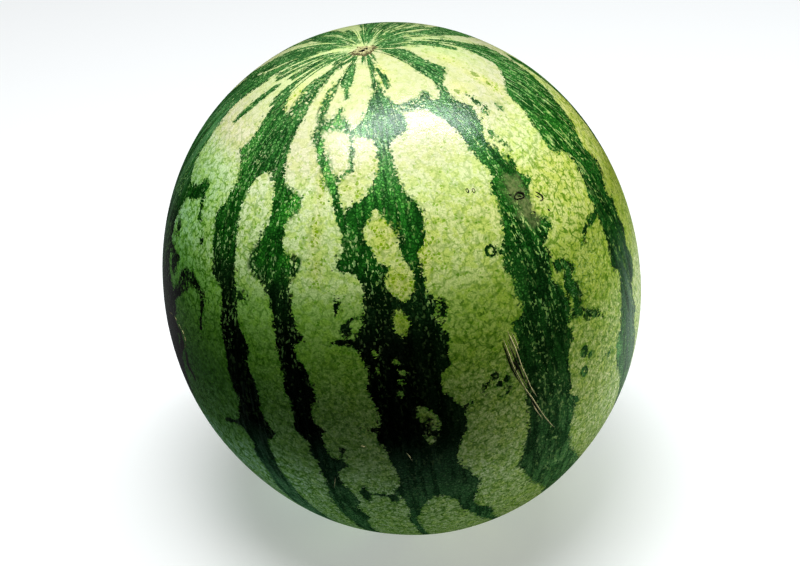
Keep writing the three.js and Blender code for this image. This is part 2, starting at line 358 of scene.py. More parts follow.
# The stripes, as rows of (degrees from the blossom end, left edge, right edge). Edges are degrees
# round the fruit from its front, towards +X. Each stripe is a loose string of blots, so its edges jump.
STRIPES = {
    "far_left": [
        (6, -76, -70), (10, -84, -80), (15, -91.6, -88), (20, -93.5, -88), (23, -95.5, -87),
        (25, -97, -85.6), (28, -101, -86), (31, -106, -86.5), (35, -109, -85.5), (40, -108, -82),
        (45, -106, -80.6), (48, -104, -80), (50, -102, -77.5), (52, -100, -74), (54, -98, -72.2),
        (56, -97, -73), (58.5, -96, -74.5), (61, -95, -75), (63, -94, -74), (67, -92, -73), (70, -91, -72),
        (72.5, -90, -69.2), (75, -89, -65.2), (78, -88, -64.5), (80, -87, -65.5), (84, -86, -64),
        (92, -80, -64), (104, -77, -66), (115, -76, -65), (130, -74, -63), (150, -72, -62),
        (165, -74, -62)],
    "left": [
        (5, -60, -52), (9, -62.5, -55.5), (13, -61.5, -58), (17, -62, -58), (20, -62.8, -56.8),
        (23, -62.5, -53.3), (25, -61.5, -50), (25.6, -61, -48.8), (26.6, -59, -34.6), (29, -56.8, -34.4),
        (31, -55.5, -34.2), (34, -55, -33.8), (36, -56, -33.4), (37.3, -57.8, -33), (38.6, -55.5, -32.4),
        (39.3, -53.8, -39.6), (40.5, -52, -42.4), (43, -50.4, -43.8), (46, -50.5, -44.8),
        (49, -51.5, -44.4), (51, -53.6, -43.8), (53, -53.2, -43), (55, -51.6, -42.4), (58, -51, -41.6),
        (61, -49.8, -41), (63.5, -48.8, -40.3), (65, -45.5, -39.6), (66, -44.4, -39.4), (70, -43.9, -38.7),
        (72.5, -44.2, -37.6), (75, -43.7, -35), (77, -43, -35.2), (79, -42.7, -36), (82, -42.3, -34.5),
        (86, -41.8, -33.5), (89, -40.2, -33.7), (92, -40.7, -33.2), (95, -42, -31.4), (96.5, -42.5, -32),
        (98, -41, -34), (101, -39.5, -34.2), (104, -41, -34.2), (108, -40, -34), (112, -39.8, -33),
        (116, -41, -32.8), (120, -40.5, -32), (125, -40.5, -31.6), (130, -38.5, -31), (138, -37, -30),
        (150, -36, -29), (165, -38, -28)],
    "left_inner_thread": [
        (9, -39.3, -37.8), (12, -40.5, -37.2), (15, -43.5, -36.6), (18, -45, -37), (21, -45.5, -36.2),
        (24, -45.2, -35.5), (27, -45.5, -34.6)],
    "second": [
        (35, -36.5, -33.8), (38, -37, -32.6), (39.5, -37, -31.6), (41, -34.8, -30.5), (42.3, -33.8, -25.5),
        (43.5, -33.4, -23.4), (45.5, -32.9, -24), (46.8, -32.7, -26.4), (49, -32.6, -27.3),
        (51, -33.6, -27), (53, -34.8, -27), (54.8, -35.3, -25.8), (56, -36.2, -22.3), (58, -36.3, -23),
        (60, -35.4, -24.3), (61.5, -31, -24.1), (64, -29.7, -23.3), (67, -28.3, -22.8),
        (69.5, -27.8, -21.6), (71.5, -27.4, -20.8), (73.5, -27.1, -22.8), (75.5, -27, -22.2),
        (77.5, -26.4, -20.4), (80, -25.8, -19.8), (83, -26, -18.5), (84.8, -25, -18.6), (86, -24.8, -20.3),
        (90, -25, -20), (92, -25.5, -18), (94, -24.3, -18.5), (96, -22.4, -18.9), (98.5, -23.3, -18.2),
        (100.6, -21.6, -14.4), (102, -21.8, -15), (103.5, -21.8, -17), (106, -21.5, -17.8),
        (109, -21.6, -16.5), (112, -22.2, -15.1), (114.5, -22.4, -14.6), (117, -22.5, -16.3),
        (119.5, -22.2, -15.3), (121.5, -22, -14.1), (124, -22, -15.8), (129, -21.5, -16.8),
        (134, -22, -17.5), (145, -21, -17), (165, -22, -16)],
    "crown_wedge": [
        (5, -20.5, -17.5), (8, -21, -15), (10, -22, -12.2), (12, -22.5, -11.2), (14, -23, -11),
        (15.3, -21, -11.4), (16, -17, -13.6), (17.5, -14.5, -12.6), (19.3, -13, -12)],
    "wedge_tail": [
        (13.5, -24, -22.5), (15.5, -26, -23.7), (18, -27.6, -25.2), (20.5, -27.3, -25.6), (23, -26.4, -25),
        (25, -25, -23.6), (26.5, -22.6, -21.2)],
    "middle_left_arm": [
        (30, -22.5, -20.5), (32, -21.6, -18.8), (34, -20.4, -17), (36, -18.6, -15.2), (38, -16.7, -12.8),
        (40, -15, -11.9), (42, -13.6, -11), (44, -12.8, -10.2), (46, -11.8, -9), (48, -11.2, -7.6),
        (49.5, -10.2, -7)],
    "middle": [
        (4, 7.5, 11.5), (7, 8.2, 11.8), (10, 8.6, 11.2), (12, 7, 9.6), (13.8, 6.2, 8.8), (15.5, 5.8, 11),
        (17.5, 5.4, 11.2), (19.3, 4.4, 11.4), (20.3, 2.6, 13.6), (22, 1.6, 15.4), (23.5, 0.2, 17.2),
        (25, -1.8, 18.5), (26.3, -4.2, 18.2), (28, -5.5, 18), (29.3, -3.5, 17), (30.3, 1.8, 10.8),
        (31.5, 2.6, 9), (33, 3.6, 8), (36, 3.2, 8.2), (38, 2.3, 8.3), (40, 0.4, 9), (42, -2, 9.4),
        (43.5, -4, 10.5), (45, -8.8, 12.6), (47, -9.4, 13.2), (49, -9.6, 13.2), (52, -9.2, 12.2),
        (53.5, -9.4, 12), (55, -11, 9.9), (57, -11.8, 9.6), (58.2, -7, 9.8), (60, -5, 9.8), (63, -4.9, 9.9),
        (65, -5.1, 12), (67, -5.2, 11.3), (69, -6.4, 11.5), (70.5, -8, 11.7), (72, -9, 13),
        (73.5, -7, 12.7), (76, -6.3, 12.2), (78.8, -5.7, 12.4), (80, -6, 9.8), (81.5, -6.8, 9.8),
        (84, -5.9, 9.9), (86, -5, 11.6), (88.5, -4.6, 13.7), (91, -5.6, 13.7), (94, -6, 13.6),
        (96, -4.7, 12.2), (99, -4.3, 11.2), (101, -3.6, 10.6), (104, -3.2, 11.8), (106, -3, 13.4),
        (108, -4.2, 14.6), (110, -5, 15.4), (112, -3.2, 15.2), (114, -2.9, 15.1), (116, -2.7, 14.2),
        (118, -2.4, 14.1), (120, -2.8, 15), (122, -3.6, 17.4), (124, -3.2, 19.6), (127, -2.7, 20.5),
        (130, -2.3, 20.8), (134, -2.4, 23.4), (138, -2.2, 26), (150, -2, 27), (165, -2, 26)],
    "right": [
        (5, 61, 68), (6, 58, 72), (7, 54.5, 74), (8, 52, 75), (9, 50.8, 74.5), (10, 50, 72.5),
        (11, 50, 70.5), (12.5, 50, 67.5), (14, 49, 65), (16, 47.6, 63.5), (18, 48.6, 64.5),
        (19.6, 49.2, 66), (20.6, 48.6, 58), (21.2, 47.6, 53.5), (22, 46, 51), (23, 45, 49.5),
        (24, 43.5, 48.5), (25, 41.5, 48), (26, 35.5, 47.5), (27, 34, 47.3), (28, 34.5, 48), (29, 35, 49),
        (30, 35.4, 51), (31, 35.6, 50.5), (32.5, 36.5, 49.8), (34, 37, 48.5), (35.5, 36.6, 46.5),
        (37, 36.6, 45), (38.5, 37.2, 44.2), (40, 37.4, 44.5), (42, 38, 45.6), (44, 38.8, 46.1),
        (45.5, 38.5, 46.8), (47, 36.2, 47.8), (48.5, 35.6, 49), (49.8, 36, 49.8), (50.5, 36, 47.3),
        (52, 35.5, 46.3), (54, 34.7, 45), (56, 33.7, 43.8), (57.2, 32.8, 45.2), (58.5, 31.5, 48.3),
        (59.8, 31, 47.5), (61, 30.5, 45), (62.5, 30.2, 42.9), (64.3, 30.6, 43.4), (66, 31.8, 42.9),
        (68, 30.9, 42), (69.5, 31.4, 41.5), (71.5, 31.6, 42.8), (73.2, 30.8, 43.6), (74, 28.2, 44),
        (76, 28.4, 44.2), (78, 28.5, 44.2), (79.4, 28.2, 41.6), (80.8, 27.2, 42), (82, 26.5, 42),
        (83, 28.2, 41.8), (85, 28.8, 40.6), (88, 29, 40.3), (90.5, 28, 40.4), (93, 28.6, 40.3),
        (95.5, 28.8, 40.2), (97.8, 28.4, 42.6), (99.3, 28.2, 41.2), (102, 27.4, 40.9), (105, 26.8, 40.4),
        (107.5, 26.3, 40.6), (108.7, 25.3, 40.9), (110.5, 26.6, 41.4), (113, 27.7, 42.3), (115, 28.8, 43.8),
        (118, 30.5, 46.6), (121, 33.6, 49), (124, 36, 52), (127, 38.6, 54), (130, 39.4, 55), (135, 42, 57),
        (145, 44, 58), (165, 46, 58)],
    "right_shoulder": [
        (22, 34.5, 37), (23, 29, 37.2), (24, 28.5, 36), (25, 29, 38.5), (26, 30.5, 41), (27, 31.5, 43),
        (28, 33, 44), (29.5, 34.5, 45)],
    "far_right": [
        (13, 101, 103), (15, 100, 104.8), (17, 101, 106), (20, 101.5, 108.5), (22.5, 99, 108),
        (25, 97, 108.5), (28, 94.5, 110), (30, 92, 111), (31.5, 86, 110), (33.2, 74, 108),
        (34.5, 71.8, 106), (37, 70.8, 103.5), (40, 69.3, 101), (42, 67.6, 98.5), (44, 66.3, 96),
        (45.5, 65.2, 93), (48, 64.5, 90), (49.6, 65.5, 88.5), (50.4, 69.2, 87.5), (51.8, 69.8, 86),
        (52.6, 69.8, 82), (55, 69.5, 80.5), (57.5, 68.8, 80.5), (59.5, 67.4, 81.5), (61.5, 66, 80),
        (63, 66, 78), (64.5, 65.8, 75.2), (66.5, 65.3, 75.6), (67.3, 65.2, 78.3), (68.5, 65, 76),
        (71, 64.6, 75.2), (74, 63.6, 75.8), (76, 62.6, 74), (77.3, 63, 73.5), (78.5, 64.8, 73.6),
        (80.5, 65, 75), (83, 63.8, 74), (85, 63, 70.6), (88, 62.2, 70), (91, 61, 71), (91.8, 59, 71.5),
        (94, 58.4, 69.8), (97, 58.2, 70.5), (99.5, 59.2, 71.5), (102, 61, 72), (105, 62.5, 71.5),
        (110, 64, 72), (120, 66, 74), (135, 68, 78), (150, 68, 78), (165, 66, 78)],
}
# pale islands that the middle stripe flows round, in the same rows
ISLANDS = {
    "upper_island": [
        (45.2, 0, 1), (46.5, -1.6, 1.9), (48, -3, 3.4), (50, -3.8, 4.9), (52, -3.5, 5.7), (54, -1.6, 5.6),
        (56, -0.4, 6.4), (57.2, 1.7, 7.3), (58.5, 1, 7.8), (60.5, 0.4, 7.8), (62, 1.4, 7.2), (63.4, 2.8, 6),
        (64.2, 4, 5)],
    "small_island": [
        (65.4, 2.4, 3.4), (66.5, 1.2, 4.3), (68.5, 0.8, 4.9), (70, 1.5, 4.1), (70.9, 2.6, 3.6)],
    "low_island": [
        (86.3, 3.9, 5), (88, 3.2, 7.2), (90, 3.1, 8), (92, 3.6, 8.2), (94, 4.4, 7), (95.6, 5.2, 6)],
    "bottom_lens": [
        (112, 4, 5), (113.2, 2.8, 7.2), (115, 1.6, 9.4), (118, 0.2, 10.3), (120, -0.4, 10.9),
        (122, -1.4, 12.8), (124, -1.7, 14.2), (127, -1, 15.6), (130, -0.6, 17.2), (134, -0.6, 20.6),
        (138, -0.4, 23.4), (150, 0.4, 24), (165, 2, 23)],
}
# thin dark strokes: points (degrees round, degrees from the blossom end) and half-widths in millimetres
STROKES = [
    ([(-13, 39.2), (-10.8, 38.4), (-8.2, 37.2), (-6.6, 36.8)], [0.5]),
    ([(-7, 28.5), (-7.1, 32), (-6.9, 36.8)], [0.35]),
    ([(-26, 24.6), (-23.4, 26), (-21, 27.2), (-18.5, 27), (-16.5, 26), (-15.4, 24.2), (-15, 22.6)], [0.6]),
    ([(-15.2, 24.2), (-13.4, 25.6), (-11.5, 26.8), (-9.5, 27.6), (-7, 28.2), (-4.5, 27.8), (-2.5, 26.8)],
      [0.9]),
    ([(17, 23.2), (19.5, 23.7), (22, 23.8), (24.5, 24), (27.5, 23.6), (30, 23.4), (33, 23), (36, 22.3)],
      [0.7]),
    ([(-65.5, 74.3), (-63, 72.3), (-61.5, 70), (-60, 68), (-57.5, 67), (-55, 68), (-52.6, 68.8),
      (-51.7, 71), (-51.8, 75), (-52.2, 79)], [2.2, 2.4, 3.2, 3.6, 2.4, 1.6, 1.4, 1.2, 0.6, 0.3]),
    ([(-79, 51.5), (-74, 52.5), (-69, 51.8), (-66, 50.2), (-64.2, 48.5)], [3.0]),
    ([(-63.5, 50), (-61.6, 52.5), (-60.3, 55)], [0.8]),
    ([(-76, 66), (-71, 66), (-66, 66)], [2.2, 1.8, 1.0]),
    ([(66, 64.7), (62.5, 65), (60, 64.9), (58, 65.3), (56, 66.5), (54, 67.7)],
      [1.4, 1.3, 1.1, 0.6, 0.3, 0.15]),
    ([(-42, 96.3), (-44.5, 96.6), (-46.5, 97.3), (-48, 98)], [1.2, 1.0, 0.8, 0.4]),
    ([(-5, 110.5), (-7, 110.8), (-9, 110.5), (-11, 110.5), (-12.5, 110.8)], [0.5]),
    ([(-9.5, 67.8), (-7.5, 66.6), (-5.5, 66.8)], [0.4]),
    ([(-9, 71.6), (-11.5, 71.5), (-13.8, 72)], [1.0, 0.6, 0.3]),
    ([(-5.5, 91), (-8, 91.2), (-9.8, 91.8)], [0.9, 0.6, 0.3]),
    ([(13, 88.8), (14.6, 88), (16, 87.4)], [0.8, 0.5, 0.3]),
    ([(30, 59), (31.3, 59.8)], [0.6]),
    ([(44.4, 67.5), (46, 67.7), (47.4, 68.8), (48.3, 70)], [2.3, 2.0, 1.6, 1.4]),
    ([(46.8, 69.5), (45.6, 72), (46.6, 73.5), (47, 75.5), (46.3, 77)], [2.0, 2.8, 3.2, 3.0, 2.4]),
    ([(44.5, 78), (46.5, 78.6), (48.5, 79.8), (50.3, 81), (52.3, 82.3), (53.6, 83.3)],
     [1.9, 1.9, 1.8, 1.3, 0.9, 0.6]),
    ([(41.2, 80.3), (42.3, 81.5), (42, 83), (40.6, 84)], [0.7]),
    ([(18.6, 86), (19.8, 84.4), (21, 83.6)], [0.1, 0.3, 0.4]),
    ([(24.8, 86.6), (24.2, 87.8), (22.6, 88.3)], [0.5, 0.4, 0.1]),
    ([(-14.3, 96.5), (-15.5, 99.5), (-16, 101)], [0.6]),
]
# the thin streaks that gather at the blossom scar, in the same terms
CROWN_STREAKS = [
    ([(172, 4), (176, 7), (177, 12), (178, 17), (179, 21)], [1.0, 1.3, 1.7, 1.6, 0.8]),
    ([(-150, 4.5), (-155, 7), (-157, 10), (-158, 13)], [0.6, 1.0, 0.9, 0.4]),
    ([(-140, 4.5), (-145, 7.5), (-148, 10), (-150, 13)], [0.8, 1.3, 1.0, 0.4]),
    ([(-125, 6.5), (-130, 9), (-132, 12), (-133, 15), (-134, 18)], [1.0, 2.2, 3.4, 2.6, 1.0]),
    ([(-112, 8), (-115, 12), (-117, 16), (-118, 21)], [0.8, 1.2, 1.2, 0.6]),
    ([(-103, 9), (-107, 14), (-109, 18), (-110, 23), (-111, 28)], [0.9, 1.5, 1.7, 1.6, 1.0]),
    ([(-97, 12), (-100, 16), (-101, 20), (-101, 25)], [0.7, 1.3, 1.2, 0.6]),
    ([(-76, 13), (-78, 17.5), (-79, 21)], [0.4, 0.9, 0.5]),
    ([(-83, 12), (-84, 17), (-84, 20)], [0.5, 0.8, 0.5]),
    ([(-72, 22), (-72.5, 27), (-73, 31), (-73, 34)], [0.5, 1.3, 1.6, 1.0]),
    ([(-65, 5), (-74, 8), (-80, 11), (-84, 14)], [0.7, 0.9, 1.0, 1.0]),
    ([(-66, 9), (-68, 14), (-69, 18)], [0.4, 0.6, 0.4]),
    ([(150, 5), (156, 10), (160, 14), (162, 20)], [0.5, 0.9, 0.9, 0.6]),
    ([(140, 7), (148, 11), (152, 15), (155, 20)], [0.5, 0.8, 0.8, 0.7]),
    ([(128, 6), (133, 9), (141, 13), (146, 17), (150, 21)], [0.8, 1.0, 1.1, 1.1, 0.9]),
    ([(120, 6.5), (127, 10), (134, 14), (139, 18), (143, 22)], [0.8, 0.9, 1.0, 1.1, 1.1]),
    ([(100, 4.5), (104, 8), (106, 10)], [2.2, 1.4, 0.5]),
    ([(118, 4.5), (121, 7), (122, 9)], [1.8, 1.4, 1.0]),
    ([(84, 4.5), (88, 7.5), (93, 10)], [1.2, 0.9, 0.4]),
    ([(90, 9), (93.5, 13), (95, 17), (94, 20)], [0.4, 0.7, 0.6, 0.4]),
    ([(98, 11), (99, 14), (99, 17)], [0.4, 0.7, 0.5]),
    ([(-26, 5), (-36, 8), (-40, 11), (-44, 15), (-47, 19)], [0.5, 0.6, 0.6, 0.6, 0.4]),
    ([(-40, 5), (-45, 7), (-47, 9)], [0.4, 0.5, 0.3]),
    ([(7.5, 3.5), (10, 8), (9.5, 11)], [0.7, 1.3, 0.8]),
    ([(14, 11), (17, 14), (16.5, 17)], [0.4, 0.6, 0.4]),
]
# dark spots, then pale flecks, all in degrees: (round, from the blossom end, half-width, half-height)
SPOTS = [
    (-11.9, 64.5, 0.6, 1.4), (-9.8, 69.2, 1.2, 1.2), (-37.6, 65.7, 1.2, 0.9), (-56, 58.8, 0.8, 0.7),
    (-71, 60.3, 1.6, 1.6), (-68, 68, 2, 2.6), (12.9, 66.8, 0.9, 1.7), (54.6, 93.3, 0.8, 0.4),
    (61.8, 34.4, 0.8, 0.7), (55.3, 30, 1.2, 1.2), (56.4, 32.3, 0.9, 0.8), (54, 33, 0.9, 0.8),
    (48.7, 37.6, 1, 1), (49.8, 39.6, 0.6, 1.2), (45.7, 41, 0.5, 0.6), (47.3, 44.7, 1.1, 1.6),
    (-23.3, 29, 2.2, 1.8), (4.2, 91.6, 1.3, 1.8), (-12.3, 111, 1.2, 2.5), (-5.3, 112, 1.1, 2),
    (6.6, 93, 2.4, 0.9), (3.2, 90.2, 0.9, 2.2), (7.9, 87.6, 1.2, 1.2), (5.6, 89.6, 0.8, 0.5),
    (6.2, 91.4, 0.5, 0.5)]
PALE_SPOTS = [
    (-73.5, 60.5, 1.4, 1.6), (-60, 26.5, 0.8, 1.2), (1.8, 78.3, 0.7, 0.5), (1, 80.5, 0.6, 0.5),
    (0.6, 83, 0.7, 0.6), (-3.8, 74, 0.5, 0.7), (-3.8, 77.5, 0.5, 0.7), (0.6, 76, 0.6, 0.5),
    (8.5, 16.5, 0.8, 0.8), (47.3, 79.3, 0.6, 0.5)]
# broken-up zones, yellow-green blotches, and veined zones: (round, from the blossom end, half-width,
# half-height in degrees, strength)
LACE = [
    (-41, 20, 8, 9, 1.0), (-25, 20, 5, 7, 1.0), (-34, 57.5, 4, 4, 1.0), (-26, 45, 4, 4, 0.9),
    (-23, 57, 4, 4, 0.9), (-60, 69, 5, 4, 0.9), (-36, 40, 5, 8, 0.5), (-16, 26, 12, 3, 0.9),
    (26, 24, 12, 2.5, 0.9), (-23, 29, 3, 3, 0.8), (40, 30, 8, 5, 0.5), (7, 48, 6, 8, 0.6),
    (-7, 52, 4, 8, 0.5), (-16.5, 37, 4, 8, 0.7), (84, 44, 6, 10, 0.9), (82, 62, 5, 8, 0.8),
    (71, 30, 3, 5, 0.6), (-2, 80, 5, 12, 0.4), (5.5, 91, 3, 5, 0.6), (38, 62, 6, 8, 0.4),
    (48, 77, 5, 8, 0.5), (62, 34, 6, 5, 0.5)]
YELLOWS = [
    (2, 50, 6, 7, 1.0), (4, 60, 6, 5, 1.0), (3, 68, 3, 4, 0.7), (5, 90, 4, 6, 0.25), (-7, 41, 5, 4, 0.8),
    (-17, 41, 2.2, 5, 0.9), (-17.6, 50, 2, 5, 0.9), (-16.8, 57, 2, 3, 0.8), (2.5, 35, 3, 4, 0.6),
    (12.5, 52, 4, 8, 0.7), (17, 13, 6, 4, 0.9), (-50, 22, 5, 5, 0.8), (55, 25.5, 6, 2.5, 0.7),
    (20, 43, 3, 4, 0.4), (71.6, 28.5, 3, 5, 1.0), (77, 19, 6, 4, 0.6), (-27, 19, 5, 4, 0.6),
    (47, 44, 3, 5, 0.8), (11, 56.5, 2.4, 4, 1.1)]
VEINED = [
    (-60, 62, 26, 30, 1.0), (54, 62, 16, 26, 0.9), (-30, 92, 30, 22, 0.6), (20, 84, 16, 22, 0.7),
    (60, 95, 20, 26, 0.6), (-60, 100, 30, 26, 0.8), (-12, 120, 60, 26, 0.7)]
SCALDS = [(43, 48.8, 4.6, 3.6, 1.0), (43.2, 53.4, 4.6, 4.4, 1.0), (43.4, 57, 3.4, 2.6, 0.8)]
# a sunk black wound on the far left
SCABS = [
    ([(-70, 82.5), (-66, 81.6), (-62.8, 82.4), (-62, 84.4), (-64.3, 87.8)], [2.6, 2.4, 2.0, 2.4, 1.6]),
    ([(-60.5, 86.3), (-60.8, 89.7), (-58.8, 90.8), (-58, 92.4)], [1.2, 1.6, 1.3, 0.8]),
]
# where the dark green is a fresher, lighter green, in the same terms as the blotches above
FRESHES = [
    (-12, 28, 12, 9, 0.8), (46, 89.5, 4, 6, 0.5), (46.4, 72, 3.5, 8, 0.25), (-16, 38, 4, 8, 0.9),
    (-20, 32, 3, 4, 0.8), (-7, 30, 3, 5, 0.8), (56, 94, 4, 4, 1.0), (31.5, 68, 1.8, 3.5, 0.8),
    (28.6, 76.5, 1.8, 4, 0.7), (14, 80, 2, 4, 0.5), (-38, 66, 2.5, 2, 0.8), (3, 40, 6, 8, 0.3),
    (-55, 38, 6, 8, 0.3), (-9.5, 69, 2, 2, 0.6), (-27, 58, 8, 4, 0.5), (-25, 45, 4, 4, 0.6),
    (30, 16, 6, 4, 0.6), (5, 105, 8, 6, 0.3)]
# where a stripe is plain, without pale cells
PLAINS = [(4, 72, 9, 9, 1.0), (3, 84, 10, 10, 0.8)]
# faint olive veins that run across the pale rind
OLIVE_LINES = [
    ([(12, 66), (15, 66.4), (18, 67.3)], [0.25]),
    ([(13, 71), (17, 69.8), (20.5, 70.1), (24, 69.6)], [0.25]),
    ([(10.5, 64), (14, 65.4), (18, 66.4)], [0.2]), ([(44.6, 51.8), (45.3, 53.3), (43.8, 54.7)], [0.9]),
    ([(72.8, 25.4), (72.2, 26.4)], [1.3]), ([(71.4, 29), (70.8, 30)], [1.0]),
    ([(52.2, 25.4), (53.2, 25.8)], [1.1]),
    ([(-31, 96), (-27, 95.6)], [0.2]), ([(-44, 33), (-41, 36), (-38.5, 38)], [0.2]),
    ([(8.6, 60), (9.4, 63), (9, 66)], [0.5, 0.6, 0.3]),
]

# the side that faces away: each stripe's way down from the blossom end, as (degrees from the end,
# degrees round), and its half-width in millimetres
BACK_STRIPES = [
    ([(36, 111), (60, 105), (100, 98), (166, 96)], 10),
    ([(12, 121), (15, 123.5), (20, 127), (25, 131.5), (30, 133), (60, 129), (100, 126), (166, 124)], 13),
    ([(12, 156), (40, 155), (90, 152), (166, 150)], 7),
    ([(7, 174), (12, 177), (18, 178), (30, 181), (90, 180), (166, 176)], 15),
    ([(9, 211), (15, 212), (22, 219), (40, 214), (100, 209), (166, 206)], 10),
    ([(12, 228), (60, 234), (166, 231)], 6),
    ([(9, 254), (14, 252), (23, 250), (60, 252), (100, 257), (166, 254)], 13),
]
BACK_STEP = 2.6           # degrees between the rows of a stripe at the back
BACK_WANDER = 1.6         # degrees that its middle strays, and how slowly it goes to and fro
BACK_WANDER_LENGTH = 7
BACK_SWELLING = 0.28      # share by which its width comes and goes, and how slowly
BACK_SWELLING_LENGTH = 5.3
BACK_RAGGED = (0.72, 1.25)
ISLAND_ODDS = 0.09
BACK_SEED = 11
STEM_NEAR = 155           # stripes that reach this far down are drawn on to a point at the tip
STEM_TIP = 175
GREENEST = 75             # degrees round to the left, where the pale rind is greenest and its painted shade about the waist darkest
DEEPEST_MM = 14.0         # a stripe's depth is not told apart beyond this
ROUGH_MM = 0.35           # what a thin stroke loses to its own ragged edge

rind_skin, here = new_skin("rind_skin")
fruit_tree, fruit_settings = grown_fruit_tree(rind_skin)
fruit = grow("fruit", fruit_tree, fruit_settings)

grown = np.empty(3 * len(fruit.data.vertices))
fruit.data.attributes["grown"].data.foreach_get("vector", grown)
grown = grown.reshape(-1, 3)
polar = np.degrees(np.arccos(np.clip(grown[:, 2], -1, 1)))
around = np.degrees(np.arctan2(grown[:, 0], -grown[:, 1]))
round_mm = np.radians(WAIST_RADIUS * 1000) * np.sin(np.radians(polar))
along_mm = np.radians(1000) * np.hypot(WAIST_RADIUS * np.cos(np.radians(polar)),
                                       HALF_LENGTH * np.sin(np.radians(polar)))


def offset(degrees_round, points=slice(None)):
    """Degrees round from each point of the rind to a place, the shorter way."""
    return (degrees_round - around[points] + 180) % 360 - 180


def distance_to(path, reach=DEEPEST_MM):
    """Millimetres from each point of the rind to a path on it, and how many of its steps lie before that."""
    nearest = np.full(len(polar), reach)
    steps = np.zeros(len(polar))
    margin = reach / 2.1
    for number, ((round_a, polar_a), (round_b, polar_b)) in enumerate(zip(path, path[1:])):
        low, high = sorted((polar_a, polar_b))
        points = np.flatnonzero((polar > low - margin) & (polar < high + margin))
        start_x = offset(round_a, points) * round_mm[points]
        start_y = (polar_a - polar[points]) * along_mm[points]
        step_x = (round_b - round_a) * round_mm[points]
        step_y = (polar_b - polar_a) * along_mm[points]
        share = -(start_x * step_x + start_y * step_y) / (step_x ** 2 + step_y ** 2 + 1e-9)
        share = np.clip(share, 0, 1)
        away = np.hypot(start_x + share * step_x, start_y + share * step_y)
        closer = away < nearest[points]
        nearest[points[closer]] = away[closer]
        steps[points[closer]] = number + share[closer]
    return nearest, steps


def band_depth(rows):
    """Millimetres inside a band's outline, less than nothing outside it."""
    polars, lefts, rights = np.array(rows, float).T
    left = np.interp(polar, polars, lefts)
    right = np.interp(polar, polars, rights)
    inside = np.abs(offset((left + right) / 2)) < (right - left) / 2
    inside &= (polar > polars[0]) & (polar < polars[-1])
    outline = [*zip(lefts, polars), *zip(rights[::-1], polars[::-1]), (lefts[0], polars[0])]
    distance, _ = distance_to(outline)
    return np.where(inside, distance, -distance)


def stroke_depth(path, halves):
    """Millimetres inside a stroke, from its path and its half-widths, less than nothing outside it."""
    distance, steps = distance_to(path)
    if len(halves) == 1:
        return halves[0] + ROUGH_MM - distance
    return np.interp(steps, range(len(path)), halves) + ROUGH_MM - distance


def spot_depth(degrees_round, degrees_down, half_width, half_height):
    """The same for an oval spot."""
    wide = offset(degrees_round) / half_width
    high = (polar - degrees_down) / half_height
    size = np.minimum(half_width * round_mm, half_height * along_mm)
    return np.clip((1 - np.hypot(wide, high)) * size, -DEEPEST_MM, DEEPEST_MM)


def blotches(places):
    """A soft mask: each place is (round, down, half-width, half-height, strength)."""
    mask = np.zeros(len(polar))
    for degrees_round, degrees_down, half_width, half_height, strength in places:
        wide = offset(degrees_round) / half_width
        high = (polar - degrees_down) / half_height
        mask = np.maximum(mask, strength * np.exp(-(wide ** 2 + high ** 2)))
    return mask


def back_rows(way, half_mm, chance):
    """Rows for a stripe that nobody has drawn: it wanders and swells as the front ones do."""
    downs, rounds = zip(*way)
    rows = []
    bend, bulge = chance.uniform(0, 2 * math.pi, 2)
    for down in np.arange(downs[0], downs[-1], BACK_STEP):
        down_here = down + chance.uniform(-0.8, 0.8)
        strayed = BACK_WANDER * math.sin(down_here / BACK_WANDER_LENGTH + bend)
        middle = np.interp(down_here, downs, rounds) + strayed
        waist = 0.25 + 0.75 * math.sin(math.radians(down_here)) ** 0.8
        swelling = 1 + BACK_SWELLING * math.sin(down_here / BACK_SWELLING_LENGTH + bulge)
        mm_per_degree = math.radians(WAIST_RADIUS * 1000) * math.sin(math.radians(down_here))
        tapered = min(max((down_here - 4) / 26, 0.12), 1.0)
        halves = half_mm * waist * tapered * swelling * chance.uniform(*BACK_RAGGED, 2) / mm_per_degree
        rows.append((down_here, middle - halves[0], middle + halves[1]))
    return sorted(rows)


def drawn_to_stem(rows):
    """The rows, carried on to a point by the stem if they come near it."""
    down, left, right = rows[-1]
    if down < STEM_NEAR:
        return rows
    middle = (left + right) / 2
    halfway = ((down + STEM_TIP) / 2, left + (middle - left) * 0.25, right)
    return rows + [halfway, (STEM_TIP, middle, middle)]


stripe = np.full(len(polar), -DEEPEST_MM)
for rows in STRIPES.values():
    stripe = np.maximum(stripe, band_depth(drawn_to_stem(rows)))
for rows in ISLANDS.values():
    stripe = np.minimum(stripe, -band_depth(rows))
chance = np.random.default_rng(BACK_SEED)
for way, half_mm in BACK_STRIPES:
    rows = back_rows(way, half_mm, chance)
    stripe = np.maximum(stripe, band_depth(drawn_to_stem(rows)))
    for down, left, right in rows:
        if down > 35 and chance.random() < ISLAND_ODDS * half_mm / 10:
            middle = left + (right - left) * chance.uniform(0.3, 0.7)
            half_width = (right - left) * chance.uniform(0.15, 0.3)
            island = spot_depth(middle, down, half_width, chance.uniform(1.5, 6))
            stripe = np.minimum(stripe, -island)
for path, halves in STROKES + CROWN_STREAKS:
    stripe = np.maximum(stripe, stroke_depth(path, halves))
for spot in SPOTS:
    stripe = np.maximum(stripe, spot_depth(*spot))
for spot in PALE_SPOTS:
    stripe = np.minimum(stripe, -spot_depth(*spot))


def paint(name, values):
    """Keeps a number for each point of the fruit, for its material to read."""
    layer = fruit.data.attributes.new(name, "FLOAT", "POINT")
    layer.data.foreach_set("value", values)


